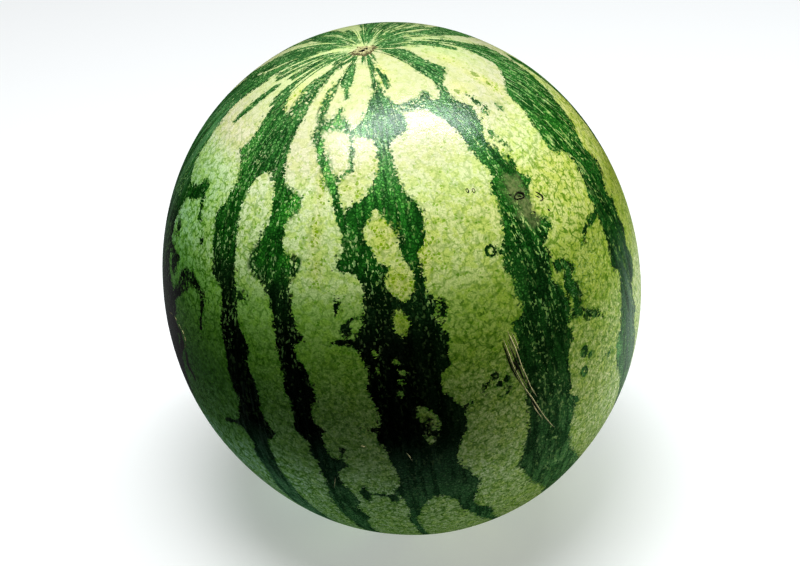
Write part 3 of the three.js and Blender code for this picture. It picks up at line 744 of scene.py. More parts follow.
turned_away = np.clip((np.abs(around) - 75) / 30, 0, 1)
crown = np.clip((34 - polar) / 16, 0, 1)
left_crown = np.clip((-around - 40) / 20, 0, 1)
right_crown = np.clip((around - 66) / 20, 0, 1)
paint("stripe", stripe)
paint("lace", blotches(LACE))
paint("yellow", blotches(YELLOWS))
paint("veined", np.maximum(blotches(VEINED), 0.7 * turned_away))
# the greener side, where the colour ramps also carry the darker painted shade
paint("greener_shaded_side", (0.5 + 0.5 * np.cos(np.radians(around + GREENEST))) ** 1.5)
paint("scald", blotches(SCALDS))
paint("fresh", blotches(FRESHES))
paint("plain", blotches(PLAINS))
paint("threads", crown * np.maximum(np.maximum(left_crown, right_crown), 0.3))
for name, strokes in (("scab", SCABS), ("olive", OLIVE_LINES)):
    depth = np.full(len(polar), -DEEPEST_MM)
    for path, halves in strokes:
        depth = np.maximum(depth, stroke_depth(path, halves))
    paint(name, depth)


def dye(red, green, blue):
    """A colour for a shader, which counts light rather than the look of it. 0 to 255 each."""
    return tuple(((c / 255 + 0.055) / 1.055) ** 2.4 for c in (red, green, blue)) + (1.0,)


# from the blossom end to the stem end, on the greener side and on the yellower side: the rind's own tint with
# painted shade, darker towards the waist and darkest there on the greener side, and painted light from below,
# lighter again under the waist
SHADED_PALE_GREENER = [
    (16, dye(203, 201, 160)), (28, dye(206, 204, 168)), (36, dye(219, 215, 183)), (44, dye(224, 232, 192)),
    (51, dye(214, 230, 182)), (59, dye(198, 222, 166)), (67, dye(146, 192, 106)), (76, dye(110, 162, 76)),
    (87, dye(74, 134, 54)), (98, dye(98, 148, 82)), (108, dye(140, 178, 138)), (124, dye(138, 170, 128))]
SHADED_PALE_YELLOWER = [
    (16, dye(187, 184, 147)), (30, dye(190, 186, 156)), (43, dye(202, 206, 154)), (51, dye(198, 198, 128)),
    (59, dye(194, 196, 126)), (67, dye(162, 170, 86)), (76, dye(164, 174, 86)), (85, dye(192, 199, 130)),
    (95, dye(206, 212, 144)), (107, dye(206, 214, 152)), (123, dye(184, 194, 130))]
SHADED_DARK_GREENER = [
    (16, dye(86, 138, 76)), (34, dye(66, 126, 56)), (46, dye(46, 116, 36)), (55, dye(32, 96, 24)),
    (64, dye(18, 50, 16)), (74, dye(10, 21, 9)), (92, dye(8, 15, 8)), (104, dye(34, 74, 40)),
    (114, dye(64, 110, 62))]
SHADED_DARK_YELLOWER = [
    (16, dye(86, 138, 76)), (34, dye(66, 126, 56)), (46, dye(48, 112, 36)), (57, dye(36, 96, 28)),
    (67, dye(30, 80, 24)), (84, dye(36, 84, 28)), (98, dye(58, 108, 48)), (114, dye(74, 120, 60))]
CROWN_GREEN = dye(170, 202, 130)
CREAM = dye(206, 200, 112)
LIME = dye(134, 162, 14)
FRINGE = dye(58, 120, 28)
SCALD_TAN = dye(116, 126, 80)
# what a mark leaves of the red, green and blue light under it
VEINS_LEAVE = (0.28, 0.46, 0.10, 1.0)
DOTS_LEAVE = (0.46, 0.68, 0.16, 1.0)
PATCHES_LEAVE = (0.84, 0.91, 0.50, 1.0)
BLOOM_LEAVES = (1.24, 1.16, 1.34, 1.0)
SHADES_LEAVE = (0.20, 0.36, 0.30, 1.0)
OUTLINES_LEAVE = (0.22, 0.36, 0.32, 1.0)
PALE_CELLS_GIVE = (3.2, 1.8, 2.8, 1.0)
# painted sheen and light, lightening a stripe near the limbs and low on the left
PAINTED_SHEEN_GIVES = (2.3, 1.9, 2.5, 1.0)
FRESH_GIVES = (2.8, 2.3, 2.2, 1.0)
# painted sheen that pales the rind near its limbs
LIMB_SHEEN_GIVES = (1.34, 1.32, 1.70, 1.0)
# painted sheen colours for the stripes on the left limb, and on the right limb and low on the left
LEFT_SHEEN = dye(118, 172, 118)
GREY_SHEEN = dye(104, 136, 112)
# painted sheen, bluish, that pales the rind low on its left
LOW_LEFT_SHEEN_GIVES = (1.42, 1.38, 1.75, 1.0)
GRAIN_LEAVES = (0.54, 0.70, 0.38, 1.0)
SHADED_LEAVES = (0.72, 0.90, 0.74, 1.0)
SCAB_BLACK = dye(30, 20, 18)
BEAD_PALE = dye(164, 200, 136)


def painted(name, out="Fac"):
    """What was painted on the mesh, as its shader reads it."""
    return here.node("ShaderNodeAttribute", out=out, attribute_name=name)


def ramp(value, low, high):
    """0 below low, 1 above high, eased between."""
    limits = {"Value": value, "From Min": low, "From Max": high}
    return value.node("ShaderNodeMapRange", limits, interpolation_type="SMOOTHSTEP")


def fall(value, low, high):
    """1 below low, 0 above high, eased between."""
    return 1.0 - ramp(value, low, high)


def stain(share, colour, leaves):
    """A colour dimmed or brightened, channel by channel, where the share is above 0."""
    colours = {0: share, MIX_FIRST: colour, MIX_SECOND: leaves}
    return share.node("ShaderNodeMix", colours, MIX_RESULT, data_type="RGBA", blend_type="MULTIPLY",
                      clamp_result=False)


def cloud(size_mm, detail=2.0):
    """Soft noise, 0 to 1, whose lumps are about so many millimetres across."""
    return here.noise(1000 / size_mm, detail, Roughness=0.6)


unit = painted("grown", "Vector")
unit_x, unit_y, unit_z = unit.axes()
girth = (1.0 - unit_z * unit_z).math("MAXIMUM", 0.0001).math("SQRT")
compass_x = unit_x / girth
compass_y = unit_y / girth
leftward = compass_x * -1.0
fruit_polar = unit_z.math("ARCCOSINE")


def drawn_out(across_mm, down_mm, seed=0.0):
    """A place whose unit is so many millimetres round the waist and so many down the fruit."""
    across = WAIST_RADIUS * 1000 / across_mm
    down = fruit_polar * (WAIST_RADIUS * 1000 / down_mm) + seed
    return (compass_x * across).with_yz(compass_y * across, down)


def streaks(across_mm, down_mm, detail=1.0, seed=0.0):
    """Noise drawn out along the fruit's meridians, gathering at both its ends."""
    return drawn_out(across_mm, down_mm, seed).noise(1.0, detail)


def shaken(reach_mm, size_mm, place=here, unit_mm=1000.0):
    """A place moved about by some millimetres, so that what is drawn there wobbles."""
    reach = reach_mm / unit_mm
    moves = {0: here.noise(1000 / size_mm, 1.0, "Color"), 1: (reach, reach, reach), 2: place}
    return here.node("ShaderNodeVectorMath", moves, operation="MULTIPLY_ADD")


def walls(place, size_mm=1000.0):
    """How far each point is from the walls of a net of cells: in the cells' own size, or in millimetres."""
    net = {"Vector": place, "Scale": 1000.0 / size_mm}
    return place.node("ShaderNodeTexVoronoi", net, feature="DISTANCE_TO_EDGE") * size_mm


def drawn_lots(place, size_mm, channel):
    """A number from 0 to 1 for each cell of such a net."""
    lots = place.node("ShaderNodeTexVoronoi", {"Vector": place, "Scale": 1000 / size_mm}, "Color")
    return place.node("ShaderNodeSeparateColor", {0: lots}, channel)


def down_the_fruit(dyes):
    """A colour that changes from the blossom end to the stem end: (degrees, colour) pairs."""
    mixed = dyes[0][1]
    for (before, _), (after, colour) in zip(dyes, dyes[1:]):
        mixed = blend(ramp(fruit_polar, math.radians(before), math.radians(after)), mixed, colour)
    return mixed


# small loose marks, ring-shaped or solid: (degrees round, degrees down, ring's radius, half its width in mm)
ROUND_MARKS = [
    (28.3, 58.6, 2.1, 0.8), (24.4, 84.8, 0.0, 1.7), (22.4, 85.3, 0.0, 1.4), (21.8, 83.3, 1.3, 0.6),
    (45.6, 87.6, 1.7, 1.1), (47.4, 89.4, 0.8, 1.0), (44.8, 92.2, 1.6, 1.2)]

# how ragged a stripe's edge is, in millimetres: slow bays, small teeth, and hairs that lie across it,
# then threads at the crown and longer tongues round the scar and the stem
lace = painted("lace")
stripe_depth = painted("stripe")
threads = painted("threads")
narrow = (girth * 1.6).math("MINIMUM", 1.0)
bays = (cloud(6.0) - 0.5) * 3.4
teeth = (cloud(1.3) - 0.5) * 3.8
hairs = (streaks(3.2, 0.8, 1.0, 11.0) - 0.5) * ramp(cloud(14.0), 0.42, 0.6) * 5.0
edge = stripe_depth + (bays + teeth + hairs) * narrow + lace * (cloud(2.6, 1.0) - 0.5) * 3.0
round_scar = fall(fruit_polar, math.radians(4), math.radians(12))
round_stem = ramp(fruit_polar, math.radians(140), math.radians(168))
for long_streaks, middle, where, reach_mm in (
        (streaks(6.0, 110.0, 2.0, 7.0), 0.44, threads, 13.0),
        (streaks(18.0, 60.0, 2.0, 9.0), 0.44, round_scar, 12.0),
        (streaks(12.0, 90.0, 2.0, 3.0), 0.5, round_stem, 10.0)):
    edge = edge + (long_streaks - middle) * where * reach_mm
for degrees_round, degrees_down, radius_mm, half_mm in ROUND_MARKS:
    side, end = math.radians(degrees_round), math.radians(degrees_down)
    middle = (math.sin(end) * math.sin(side), -math.sin(end) * math.cos(side), math.cos(end))
    away = unit.over("DISTANCE", middle, "Value") * (WAIST_RADIUS * 1000) + (cloud(1.7, 1.0) - 0.5) * 2.4
    edge = edge.math("MAXIMUM", half_mm - (away - radius_mm).math("ABSOLUTE"))
dark_side = ramp(edge, -0.15, 0.2)
lace_net = fall(walls(shaken(2.4, 3.0), 2.6), 0.36, 0.66)
laced = ramp(lace, 0.35, 0.75) * ramp(stripe_depth, -3.2, -1.6) * fall(stripe_depth, 2.4, 4.2)
dark_side = dark_side * (1.0 - laced) + lace_net * laced

# a stripe is a crust of small cells with dark outlines; pale cells are strung along it like beads
CELL_MM = 1.6
cell_place = shaken(2.2, 2.4)
cell_wall = walls(cell_place, CELL_MM)
outline = fall(cell_wall, 0.04, 0.36)
lot_one = drawn_lots(cell_place, CELL_MM, "Red")
lot_two = drawn_lots(cell_place, CELL_MM, "Green")
lanes = ramp(streaks(4.0, 34.0, 1.0, 2.0), 0.42, 0.56)
stretches = ramp(cloud(22.0, 1.0), 0.4, 0.62)
low_down = ramp(fruit_polar, math.radians(62), math.radians(86))
below_waist = ramp(fruit_polar, math.radians(97), math.radians(110))
beads = ramp(streaks(1.3, 2.4, 1.0), 0.59, 0.62) * lanes * (0.3 + stretches * 0.7)
flecks = ramp(lot_two + lanes * 0.05 + stretches * 0.05, 0.93, 1.0) * ramp(cell_wall, 0.1, 0.45)
sparse = low_down * (0.85 - ramp(compass_x, 0.35, 0.55) * 0.5)
pale_bits = beads.math("MAXIMUM", flecks * 0.7) * (1.0 - sparse)
# round islets of green loose along a stripe's edge, and pale holes just inside it
lacy = ramp(cloud(9.0, 1.0), 0.4, 0.56)
islet_lot = lot_two + ramp(stripe_depth, -4.5, -0.3) * 0.5
islets = ramp(islet_lot, 1.2, 1.28) * ramp(cell_wall, 0.03, 0.22) * lacy
hole_lot = lot_one + fall(stripe_depth, 0.2, 3.4) * 0.45
holes = ramp(hole_lot, 1.2, 1.28) * ramp(cell_wall, 0.1, 0.35) * lacy
pale_bits = pale_bits.math("MAXIMUM", holes * (0.8 - sparse * 0.7)) * (1.0 - painted("plain") * 0.85)
# short pale slits, drawn out down the fruit, in the stripe on its upper right side
slits = ramp(streaks(2.4, 9.0, 1.0, 19.0), 0.6, 0.66) * ramp(compass_x, 0.72, 0.86)
slits = slits * ramp(fruit_polar, 0.32, 0.45) * fall(fruit_polar, 0.85, 1.15) * ramp(stripe_depth, 0.8, 1.8)
pale_bits = pale_bits.math("MAXIMUM", slits * 0.8)
dark_side = (dark_side * (1.0 - pale_bits)).math("MAXIMUM", islets * 0.85)

# the dyes of a stripe: down the fruit, then its darker threads and its cells, with painted sheen on its
# flanks and painted light low on its left
greener_shaded_side = painted("greener_shaded_side")
green = blend(ramp(greener_shaded_side, 0.1, 0.5), down_the_fruit(SHADED_DARK_YELLOWER), down_the_fruit(SHADED_DARK_GREENER))
grain = cloud(1.5, 1.0)
bands = streaks(3.4, 18.0, 2.0, 5.0) * 0.65 + cloud(7.0) * 0.35
inside = ramp(cell_wall, 0.1, 0.4)
# where painted sheen lies on a stripe: both limbs below the waist, and the far left and right limbs
stripe_limb_sheen = ramp(compass_x.math("ABSOLUTE"), 0.4, 0.85) * ramp(fruit_polar + compass_x * 0.2, 1.55, 1.85)
left_low = ramp(leftward, 0.25, 0.75) * ramp(fruit_polar, math.radians(74), math.radians(108))
side_streaks = 0.2 + ramp(streaks(4.5, 26.0, 2.0, 13.0), 0.45, 0.57) * 0.8
left_limb_sheen = ramp(leftward, 0.962, 0.996) * ramp(fruit_polar, 0.45, 0.7) * fall(fruit_polar, 1.75, 2.4)
right_limb_sheen = ramp(compass_x, 0.84, 0.95) * ramp(fruit_polar, 1.2, 1.5) * fall(fruit_polar, 1.7, 2.0)
green = stain(ramp(bands, 0.46, 0.56) * 0.8, green, SHADES_LEAVE)
green = stain(painted("fresh"), green, FRESH_GIVES)
# painted sheen lightens the stripes near both limbs below the waist, and painted light lightens them low on
# the left
green = stain(stripe_limb_sheen, green, PAINTED_SHEEN_GIVES)
green = stain(left_low * 0.6, green, PAINTED_SHEEN_GIVES)
green = stain(ramp(lot_one, 0.35, 0.9) * inside * (1.0 - low_down * 0.6), green, PALE_CELLS_GIVE)
green = stain(outline * 0.75, green, OUTLINES_LEAVE)
green = stain(fall(edge, 0.2, 1.0) * 0.5, green, SHADES_LEAVE)
# painted sheen in pale streaks on the left and right limbs and low on the left
green = blend(left_limb_sheen * side_streaks * 0.5, green, LEFT_SHEEN)
green = blend(left_low * ramp(streaks(1.0, 14.0, 1.0, 17.0), 0.56, 0.64) * 0.3, green, GREY_SHEEN)
green = blend(right_limb_sheen * side_streaks * 0.55, green, GREY_SHEEN)

# the pale rind: a broken net of veins, wavy lines on its right, dots in clusters, soft patches, with painted
# shade on its left flank and painted sheen near its limbs and low on its left
veined = painted("veined")
yellow = painted("yellow")
vein = fall(walls(shaken(4.6, 5.0), 4.4), 0.05, 0.75) * ramp(cloud(3.2, 1.0), 0.4, 0.54)
fine_vein = fall(walls(shaken(2.6, 3.0), 2.2), 0.0, 0.5) * ramp(cloud(2.6, 1.0), 0.5, 0.62) * 0.8
wavy_net = walls(shaken(1.0, 3.0, drawn_out(3.4, 6.0, 3.0), 1.0))
wavy_vein = fall(wavy_net, 0.03, 0.25) * ramp(cloud(3.0, 1.0), 0.40, 0.52)
near_stripe = ramp(stripe_depth, -8.0, -0.5)
strength = (0.5 + veined * 0.6 + left_low * 0.3).math("MAXIMUM", near_stripe * 0.5).math("MINIMUM", 1.0)
lines = (vein.math("MAXIMUM", fine_vein) + wavy_vein * ramp(veined, 0.2, 0.8)).math("MINIMUM", 1.0)
below_crown = ramp(fruit_polar, math.radians(22), math.radians(56))
DOT_MM = 1.5
dot_place = shaken(1.0, 2.0)
clusters = ramp(cloud(12.0, 1.0), 0.4, 0.62)
dot_lot = drawn_lots(dot_place, DOT_MM, "Blue") + clusters * 0.12 + yellow * 0.36
dots = ramp(dot_lot, 0.93, 1.0) * ramp(walls(dot_place, DOT_MM), 0.08, 0.3)
bloom = 0.18 + low_down * 0.22 + below_waist * 0.28
shaded = ramp(leftward, 0.66, 0.92) * ramp(fruit_polar, 0.6, 0.85) * fall(fruit_polar, 1.15, 1.35)
# where painted sheen pales the rind near the limbs
ground_limb_sheen = ramp(compass_x, 0.72, 0.96) * ramp(fruit_polar, 1.1, 1.35)
ground_limb_sheen = ground_limb_sheen.math("MAXIMUM", ramp(leftward, 0.82, 0.98) * ramp(fruit_polar, 0.85, 1.05))
coarse = ramp(cloud(1.7), 0.44, 0.58)
coarse_bloom = low_down * 0.3 + below_waist * 0.3 - left_low * 0.2
ground = blend(greener_shaded_side, down_the_fruit(SHADED_PALE_YELLOWER), down_the_fruit(SHADED_PALE_GREENER))
ground = blend(threads * 0.35, ground, CROWN_GREEN)
ground = blend(yellow * 0.45, ground, CREAM)
ground = stain(ramp(cloud(2.6, 1.0), 0.48, 0.6) * bloom, ground, BLOOM_LEAVES)
ground = stain(ramp(cloud(4.6, 3.0), 0.48, 0.56) * (0.3 + below_crown * 0.5), ground, PATCHES_LEAVE)
ground = stain(shaded, ground, SHADED_LEAVES)
# painted sheen near the limbs and low on the left
ground = stain(ground_limb_sheen, ground, LIMB_SHEEN_GIVES)
ground = stain(left_low, ground, LOW_LEFT_SHEEN_GIVES)
ground = stain(lines * strength * (0.3 + below_crown * 0.7), ground, VEINS_LEAVE)
ground = stain(dots * (0.3 + below_crown * 0.6), ground, DOTS_LEAVE)
ground = blend(yellow * dots, ground, LIME)
fine_grain = ramp(cloud(0.9, 1.0), 0.47, 0.58) * below_crown * (0.42 + low_down * 0.33)
ground = stain(fine_grain, ground, GRAIN_LEAVES)
ground = stain(coarse * low_down * 0.75, ground, GRAIN_LEAVES)
ground = stain((1.0 - coarse) * coarse_bloom, ground, BLOOM_LEAVES)
ground = stain(ramp(painted("olive") + (cloud(1.3) - 0.5) * 4.0, 0.0, 0.6) * 0.7, ground, VEINS_LEAVE)
ground = blend(ramp(edge, -1.2, -0.1) * ramp(grain, 0.44, 0.56) * 0.7, ground, FRINGE)

# both together, then the scald and the black wound over them
rind_colour = blend(dark_side, ground, green)
rind_colour = blend(pale_bits * ramp(stripe_depth, 0.4, 1.4) * 0.3, rind_colour, BEAD_PALE)
scalded = ramp(painted("scald") + (cloud(4.0) - 0.5) * 1.2, 0.3, 1.0)
rind_colour = blend(scalded * (0.5 + ramp(grain, 0.35, 0.65) * 0.45), rind_colour, SCALD_TAN)
scab = ramp(painted("scab") + (cloud(0.8, 1.0) - 0.5) * 1.0, 0.1, 0.4)
rind_colour = blend(scab, rind_colour, SCAB_BLACK)

PEEL_STRENGTH = 0.6
PEEL_HEIGHT = 0.00014
peel = cloud(2.4, 2.0) * 1.2 + cloud(1.0, 1.0) * 0.4 + cloud(7.0) * 1.2 + ramp(cell_wall, 0.0, 0.7) * 0.35
bump = here.node("ShaderNodeBump", {"Height": peel, "Strength": PEEL_STRENGTH, "Distance": PEEL_HEIGHT})
roughness = 0.2 + cloud(3.0) * 0.14
feed(rind_skin, Base_Color=rind_colour, Normal=bump, Roughness=roughness, Specular_IOR_Level=0.58)

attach(fruit, "root")
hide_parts("watermelon")


# ---- Blossom scar ----------------------------------------------------------------------------
# The crust of dry cork where the flower fell off: a lumpy ring round two small pits, cracked
# outwards, with short rays of cork running out onto the rind. It grew with the rind.

SCAR_SLIP = (-0.0005, -0.0028)      # from the stem line to the scar, on the upright fruit
SCAR_REACH = 0.0092
SCAR_LENGTHEN = 1.12                # along its long way, which lies this many degrees from +X
SCAR_TURN = 35
RING_RADIUS = 0.0034
RING_HALF_WIDTH = 0.0019
RING_HEIGHT = 0.00085
CRACKS = 11
SCAR_LUMP_MM = 1.5
SCAR_COLUMNS = 150
SCAR_ROWS = 70
SCAR_CUSHION = 0.0011               # how high its middle swells, and how deep its rim sinks
SCAR_SINK = 0.00045
CRACK_DEPTH = 0.0016
CRACK_SPARING = 0.72                # the nearer to 1, the narrower the cracks
DROP_HEIGHT = 0.4                   # above the fruit, from where its net is dropped onto the rind
# (right, back, radius, depth) from the scar's middle
SCAR_PITS = [(-0.0014, -0.0016, 0.0016, 0.0009), (-0.0003, -0.0009, 0.0014, 0.0008),
             (0.0012, 0.0008, 0.0014, 0.0008)]
# (degrees from +X, start, length, half-width, height)
SCAR_RAYS = [
    (32, 0.004, 0.0062, 0.0007, 0.0007), (48, 0.004, 0.0056, 0.0005, 0.0006),
    (16, 0.004, 0.0050, 0.0005, 0.0006), (205, 0.004, 0.0056, 0.0007, 0.0007),
    (222, 0.004, 0.0056, 0.0004, 0.0005), (186, 0.004, 0.0050, 0.0005, 0.0006),
    (272, 0.0036, 0.0040, 0.0014, 0.0006), (310, 0.004, 0.0040, 0.0004, 0.0004),
    (120, 0.004, 0.0040, 0.0005, 0.0005)]


def blossom_scar_tree(material):
    """A round net of points dropped onto the grown rind and raised into cork."""
    sizes = {"Reach": SCAR_REACH, "Ring radius": RING_RADIUS, "Ring half width": RING_HALF_WIDTH,
             "Ring height": RING_HEIGHT, "Cracks": CRACKS}
    tree, size, settings, base = tree_ends("blossom_scar", sizes)
    sheet, round_share, out_share = sheet_places(base, SCAR_COLUMNS, SCAR_ROWS)
    turn = round_share * (2 * math.pi)
    away = out_share * size["Reach"]
    long_way = away * turn.math("COSINE") * SCAR_LENGTHEN
    short_way = away * turn.math("SINE")
    tilt = math.radians(SCAR_TURN)
    right = long_way * math.cos(tilt) - short_way * math.sin(tilt)
    back = long_way * math.sin(tilt) + short_way * math.cos(tilt)

    # dropped onto the rind from above
    slipped = SCAR_SLIP[0] + ASKEW * HALF_LENGTH
    middle = slipped * math.cos(LEAN) - HALF_LENGTH * math.sin(LEAN)
    above = (right + middle).with_yz(back + SCAR_SLIP[1], DROP_HEIGHT)
    ray = {"Target Geometry": base, "Source Position": above,
           "Ray Direction": (0.0, 0.0, -1.0), "Ray Length": 1.0}
    landing = base.node("GeometryNodeRaycast", ray, "Hit Position")
    outward = base.node("GeometryNodeRaycast", ray, "Hit Normal")

    noise = landing.noise(1000 / SCAR_LUMP_MM, 3.0)
    lumps = (noise - 0.5) * 2.0
    ring = size["Ring height"] * swell((away - size["Ring radius"]).math("ABSOLUTE"), size["Ring half width"])
    inner = swell(away, size["Ring radius"] * 1.6) * SCAR_CUSHION
    outer = (away / size["Reach"]).math("MINIMUM", 1.0)
    crack_wave = (turn * size["Cracks"] + lumps * 2.4).math("COSINE")
    cracks = (crack_wave - CRACK_SPARING).math("MAXIMUM", 0.0) * CRACK_DEPTH
    cracks = cracks * (away * 400.0).math("MINIMUM", 1.0)
    high = ring * (lumps * 0.7 + 0.85) + inner + lumps * 0.00022 - outer * outer * SCAR_SINK - cracks
    for degrees, begin, length, half_width, height in SCAR_RAYS:
        toward = (math.cos(math.radians(degrees)), math.sin(math.radians(degrees)))
        along = right * toward[0] + back * toward[1] - begin
        beside = (right * toward[1] - back * toward[0] + lumps * 0.0002).math("ABSOLUTE")
        fade = swell((along - length * 0.3).math("ABSOLUTE"), length * 0.75)
        high = high + height * swell(beside, half_width * 1.6) * fade
    pit = 0.0 * away
    for pit_right, pit_back, radius, depth in SCAR_PITS:
        across = right - pit_right
        along = back - pit_back
        hole = swell((across * across + along * along).math("SQRT"), radius)
        high = high - depth * hole
        pit = pit.math("MAXIMUM", hole)
    lift = base.node("ShaderNodeVectorMath", {0: outward, "Scale": high}, operation="SCALE")
    body = keep(keep(sheet, "pit", pit), "raised", high * 1000.0)
    close_up(moved(body, landing.over("ADD", lift)), material)
    return tree, settings


CORK_BROWN = dye(90, 84, 54)
CORK_TAN = dye(166, 162, 120)
CORK_CREAM = dye(204, 196, 148)
CORK_DARK = dye(16, 12, 8)
cork, here = new_skin("dry_cork")
fibre = cloud(0.9, 3.0)
cork_colour = blend(ramp(painted("raised") + (fibre - 0.5) * 1.6, 0.3, 1.0), CORK_BROWN, CORK_TAN)
crests = ramp(painted("raised") + (cloud(1.8, 2.0) - 0.5) * 1.6, 1.2, 1.8)
cork_colour = blend(crests, cork_colour, CORK_CREAM)
cork_colour = blend(ramp(painted("pit"), 0.12, 0.35), cork_colour, CORK_DARK)
feed(cork, Base_Color=cork_colour, Roughness=0.75, Specular_IOR_Level=0.3)

scar_tree, scar_settings = blossom_scar_tree(cork)
scar = grow("blossom_scar", scar_tree, scar_settings, fruit.data.copy())
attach(scar, "root")


# ---- Stem stub -------------------------------------------------------------------------------
# What is left of the stem in its dimple underneath: a short ribbed plug of dry cork, flared where
# it runs into the rind, with a sunk, split face where it broke off just clear of the table.

STUB_RADIUS = 0.0038
STUB_FLARE = 0.0056
STUB_TOP = -0.1338                  # where its foot leaves the rind, down from the waist
STUB_LENGTH = 0.0044
STUB_RIBS = 7
STUB_RIB_HEIGHT = 0.00035
STUB_FACE_DEPTH = 0.0009
STUB_COLUMNS = 84
STUB_ROWS = 60
STUB_SIDE_SHARE = 0.6               # of its rows, the rest being its broken face
STUB_ROUGHNESS = 0.0008


def stem_stub_tree(material):
    """A ribbed tube that ends in a sunk face."""
    sizes = RIND_SIZES | {
        "Radius": STUB_RADIUS, "Flare": STUB_FLARE, "Top": STUB_TOP, "Length": STUB_LENGTH, "Ribs": STUB_RIBS,
        "Rib height": STUB_RIB_HEIGHT, "Face depth": STUB_FACE_DEPTH}
    tree, size, settings, base = tree_ends("stem_stub", sizes)
    sheet, round_share, along_share = sheet_places(base, STUB_COLUMNS, STUB_ROWS)
    turn = round_share * (2 * math.pi)
    side = (along_share / STUB_SIDE_SHARE).math("MINIMUM", 1.0)
    face = ((along_share - STUB_SIDE_SHARE) / (1 - STUB_SIDE_SHARE)).math("MAXIMUM", 0.0)
    bend = turn.math("COSINE").with_yz(turn.math("SINE"), along_share * 4.0)
    noise = bend.noise(2.4, 3.0) - 0.5
    ribs = size["Rib height"] * (turn * size["Ribs"] + noise * 3.0).math("COSINE")
    girth = size["Radius"] + (size["Flare"] - size["Radius"]) * swell(side, 0.7) + ribs
    girth = girth + noise * STUB_ROUGHNESS
    radius = girth * (1.0 - face)
    sunk = size["Face depth"] * (1.0 - swell(1.0 - face, 0.9)) * face.math("GREATER_THAN", 0.0)
    height = size["Top"] - size["Length"] * side + sunk * -1.0 + size["Face depth"] * swell(1.0 - face, 1.0)
    height = height + noise * 0.0006 * face.math("GREATER_THAN", 0.0)
    spot = set_down(size, radius * turn.math("COSINE"), radius * turn.math("SINE"), height)
    body = keep(keep(sheet, "raised", ribs * 1200.0 + 0.4), "pit", swell(1.0 - face, 0.35))
    body = base.node("GeometryNodeFlipFaces", {"Mesh": moved(body, spot)})
    close_up(body, material)
    return tree, settings


stub_tree, stub_settings = stem_stub_tree(cork)
stub = grow("stem_stub", stub_tree, stub_settings)
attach(stub, "root")


# ---- Corky scratches -------------------------------------------------------------------------
# Long thin scratches that healed over with pale cork while the fruit grew, low on its right, and
# a few short nicks. Each is a low rounded welt that follows the rind.

# points (degrees round, degrees from the blossom end, half-width in millimetres)
SCRATCHES = [
    [(25.2, 76.3, 0.06), (25.5, 78.4, 0.26), (25.9, 80.8, 0.28), (26.3, 82.9, 0.26), (26.9, 84.7, 0.18),
     (27.5, 86.8, 0.2), (28.3, 88.9, 0.24), (29.5, 91.3, 0.28), (30.7, 94, 0.26), (31.7, 96.1, 0.18),
     (32.7, 98.1, 0.24), (34.2, 100.6, 0.2), (35.2, 102, 0.05)],
    [(26.6, 75, 0.05), (27, 76.8, 0.3), (27.5, 79.1, 0.3), (27.9, 81.5, 0.26), (28.2, 83.7, 0.24),
     (28.8, 85.8, 0.24), (29.4, 88.2, 0.2), (30, 89.9, 0.24), (30.8, 91.6, 0.05)],
    [(29.4, 92.3, 0.05), (30.1, 94.4, 0.26), (31.3, 96.8, 0.18), (31.9, 98, 0.05)],
    [(27.4, 75.6, 0.05), (27.9, 77.2, 0.22), (28.2, 79, 0.16), (28.3, 80, 0.04)],
    [(26, 76.6, 0.05), (26.3, 78.8, 0.14), (26.8, 80.8, 0.1), (27.1, 82, 0.04)],
    [(26.5, 76.4, 0.04), (26.8, 78.4, 0.12), (27.3, 81, 0.04)],
    [(27.5, 85, 0.04), (28.1, 86.8, 0.12), (28.9, 88.8, 0.04)],
    [(-18.5, 105.5, 0.04), (-19.2, 107.3, 0.16), (-20, 109.3, 0.04)],
    [(-0.3, 97.2, 0.04), (0.2, 98.2, 0.22), (0.7, 99.8, 0.05)],
    [(-10.3, 95.1, 0.05), (-9.6, 95.3, 0.3), (-8.8, 95.5, 0.05)],
    [(-69.6, 80.6, 0.02), (-68.6, 80.4, 0.14), (-67.5, 80.2, 0.03)],
    [(-66, 79.9, 0.03), (-65, 79.9, 0.16), (-64.2, 80.2, 0.04)],
    [(-63.4, 80.4, 0.03), (-62.6, 80.6, 0.2), (-61.8, 80.9, 0.06)],
    [(-61.4, 80.9, 0.05), (-60.7, 81.3, 0.26), (-60.4, 81.8, 0.06)],
    [(-60.2, 82, 0.05), (-59.6, 82.6, 0.24), (-59.8, 83.1, 0.05)],
    [(-60.1, 83.6, 0.05), (-60.3, 84.4, 0.16), (-60.8, 85.2, 0.04)],
]
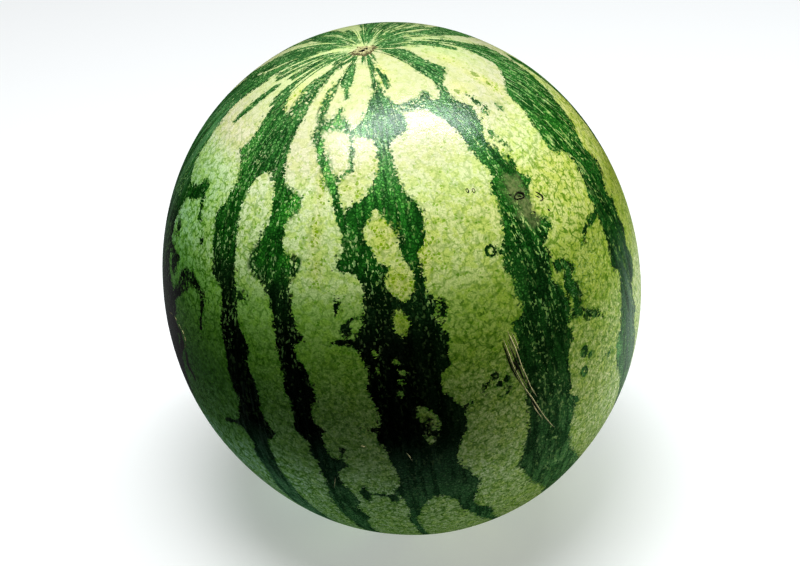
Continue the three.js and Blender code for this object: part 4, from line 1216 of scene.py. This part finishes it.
# near-black scabs in the same terms: the ring and ticks by the scald, then the scratches' dark edges
DARK_SCABS = [
    [(42.3, 50.6, 0.2), (43.3, 50.5, 0.3), (44.1, 50.9, 0.42), (44.6, 51.4, 0.42), (44.1, 52, 0.34),
     (43.2, 51.9, 0.2), (42, 51.7, 0.2), (41.3, 51.3, 0.3), (41.5, 50.8, 0.2), (42.3, 50.6, 0.2)],
    [(42.5, 51.2, 0.1), (43.2, 51.3, 0.3), (43.5, 51.6, 0.1)],
    [(40.2, 50, 0.1), (40.6, 50.2, 0.3), (41, 50.3, 0.1)],
    [(48.7, 52.4, 0.1), (49.3, 52.9, 0.25), (50, 53.8, 0.3), (49.6, 54.6, 0.25), (48.3, 54.4, 0.1)],
    [(48, 53, 0.1), (48.6, 53.6, 0.25), (49, 53.8, 0.1)],
    [(44.5, 55.4, 0.2), (44.9, 55.7, 0.3), (45, 55.9, 0.1)],
    [(49.3, 56.8, 0.2), (49.6, 57.1, 0.3), (49.7, 57.3, 0.1)],
    [(28.3, 45.9, 0.1), (28.5, 45.4, 0.14), (29.1, 45.5, 0.14), (29.1, 46.1, 0.14), (28.6, 46.3, 0.14),
     (28.3, 45.9, 0.1)],
    [(30.1, 46.3, 0.1), (30.4, 45.8, 0.14), (31, 46, 0.14), (30.9, 46.6, 0.14), (30.4, 46.7, 0.14),
     (30.1, 46.3, 0.1)],
    [(24.8, 76.8, 0.05), (25.1, 78.6, 0.24), (25.4, 80.9, 0.28), (25.8, 82.9, 0.3), (26.4, 84.8, 0.24),
     (27.2, 87, 0.05)],
    [(26.1, 77.4, 0.05), (26.6, 79.4, 0.22), (27.1, 81.8, 0.34), (27.5, 83.7, 0.4), (28, 85.8, 0.22),
     (28.7, 88.3, 0.05)],
    [(25.9, 81.4, 0.1), (26.9, 82.2, 0.4), (27.1, 83.2, 0.5), (26.6, 83.6, 0.3), (26.4, 84.4, 0.05)],
    [(28.9, 90.8, 0.05), (29.8, 93, 0.2), (30.7, 95.2, 0.24), (31.7, 97.6, 0.05)],
]
WELT_STEP = 0.0005
WELT_SIDES = 8
WELT_LUMPS = 700.0                  # to the metre, along a welt


def scratches_tree(material):
    """Round welts along lines whose points are (degrees round, degrees down, half-width in mm)."""
    tree, size, settings, base = tree_ends("scratches", RIND_SIZES)
    longitude, polar, half_mm = base.node("GeometryNodeInputPosition").axes()
    spot, _ = rind_spot(size, longitude * math.radians(1), polar * math.radians(1))
    lines = moved(keep(base, "half_mm", half_mm), spot)
    lines = base.node("GeometryNodeMeshToCurve", {"Mesh": lines})
    lines = base.node("GeometryNodeResampleCurve", {"Curve": lines, "Length": WELT_STEP}, mode="LENGTH")
    noise = base.node("GeometryNodeInputPosition").noise(WELT_LUMPS, 2.0)
    half = base.node("GeometryNodeInputNamedAttribute", {"Name": "half_mm"}, data_type="FLOAT")
    lines = keep(lines, "raised", half * 4.0 + noise * 1.4)
    profile = base.node("GeometryNodeCurvePrimitiveCircle", {"Resolution": WELT_SIDES, "Radius": 1.0})
    thickness = half * (0.7 + noise * 1.3) * 0.001
    welt = {"Curve": lines, "Profile Curve": profile, "Fill Caps": True, "Scale": thickness}
    welts = base.node("GeometryNodeCurveToMesh", welt)
    close_up(welts, material)
    return tree, settings


SCAB_BROWN = dye(44, 46, 28)
SCAB_DARK = dye(8, 12, 6)
scab_skin, here = new_skin("black_scab")
scab_grain = here.node("ShaderNodeTexNoise", {"Vector": here, "Scale": 1600.0})
feed(scab_skin, Base_Color=blend(scab_grain, SCAB_DARK, SCAB_BROWN), Roughness=0.7, Specular_IOR_Level=0.25)

for name, welts, material in (("corky_scratches", SCRATCHES, cork), ("dark_scabs", DARK_SCABS, scab_skin)):
    points = [point for welt in welts for point in welt]
    starts = np.cumsum([0] + [len(welt) for welt in welts])
    steps = [(i, i + 1) for i in range(len(points) - 1) if i + 1 not in starts]
    welt_lines = bpy.data.meshes.new(name + "_lines")
    welt_lines.from_pydata(points, steps, [])
    welt_tree, welt_settings = scratches_tree(material)
    welt = grow(name, welt_tree, welt_settings, welt_lines)
    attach(welt, "root")
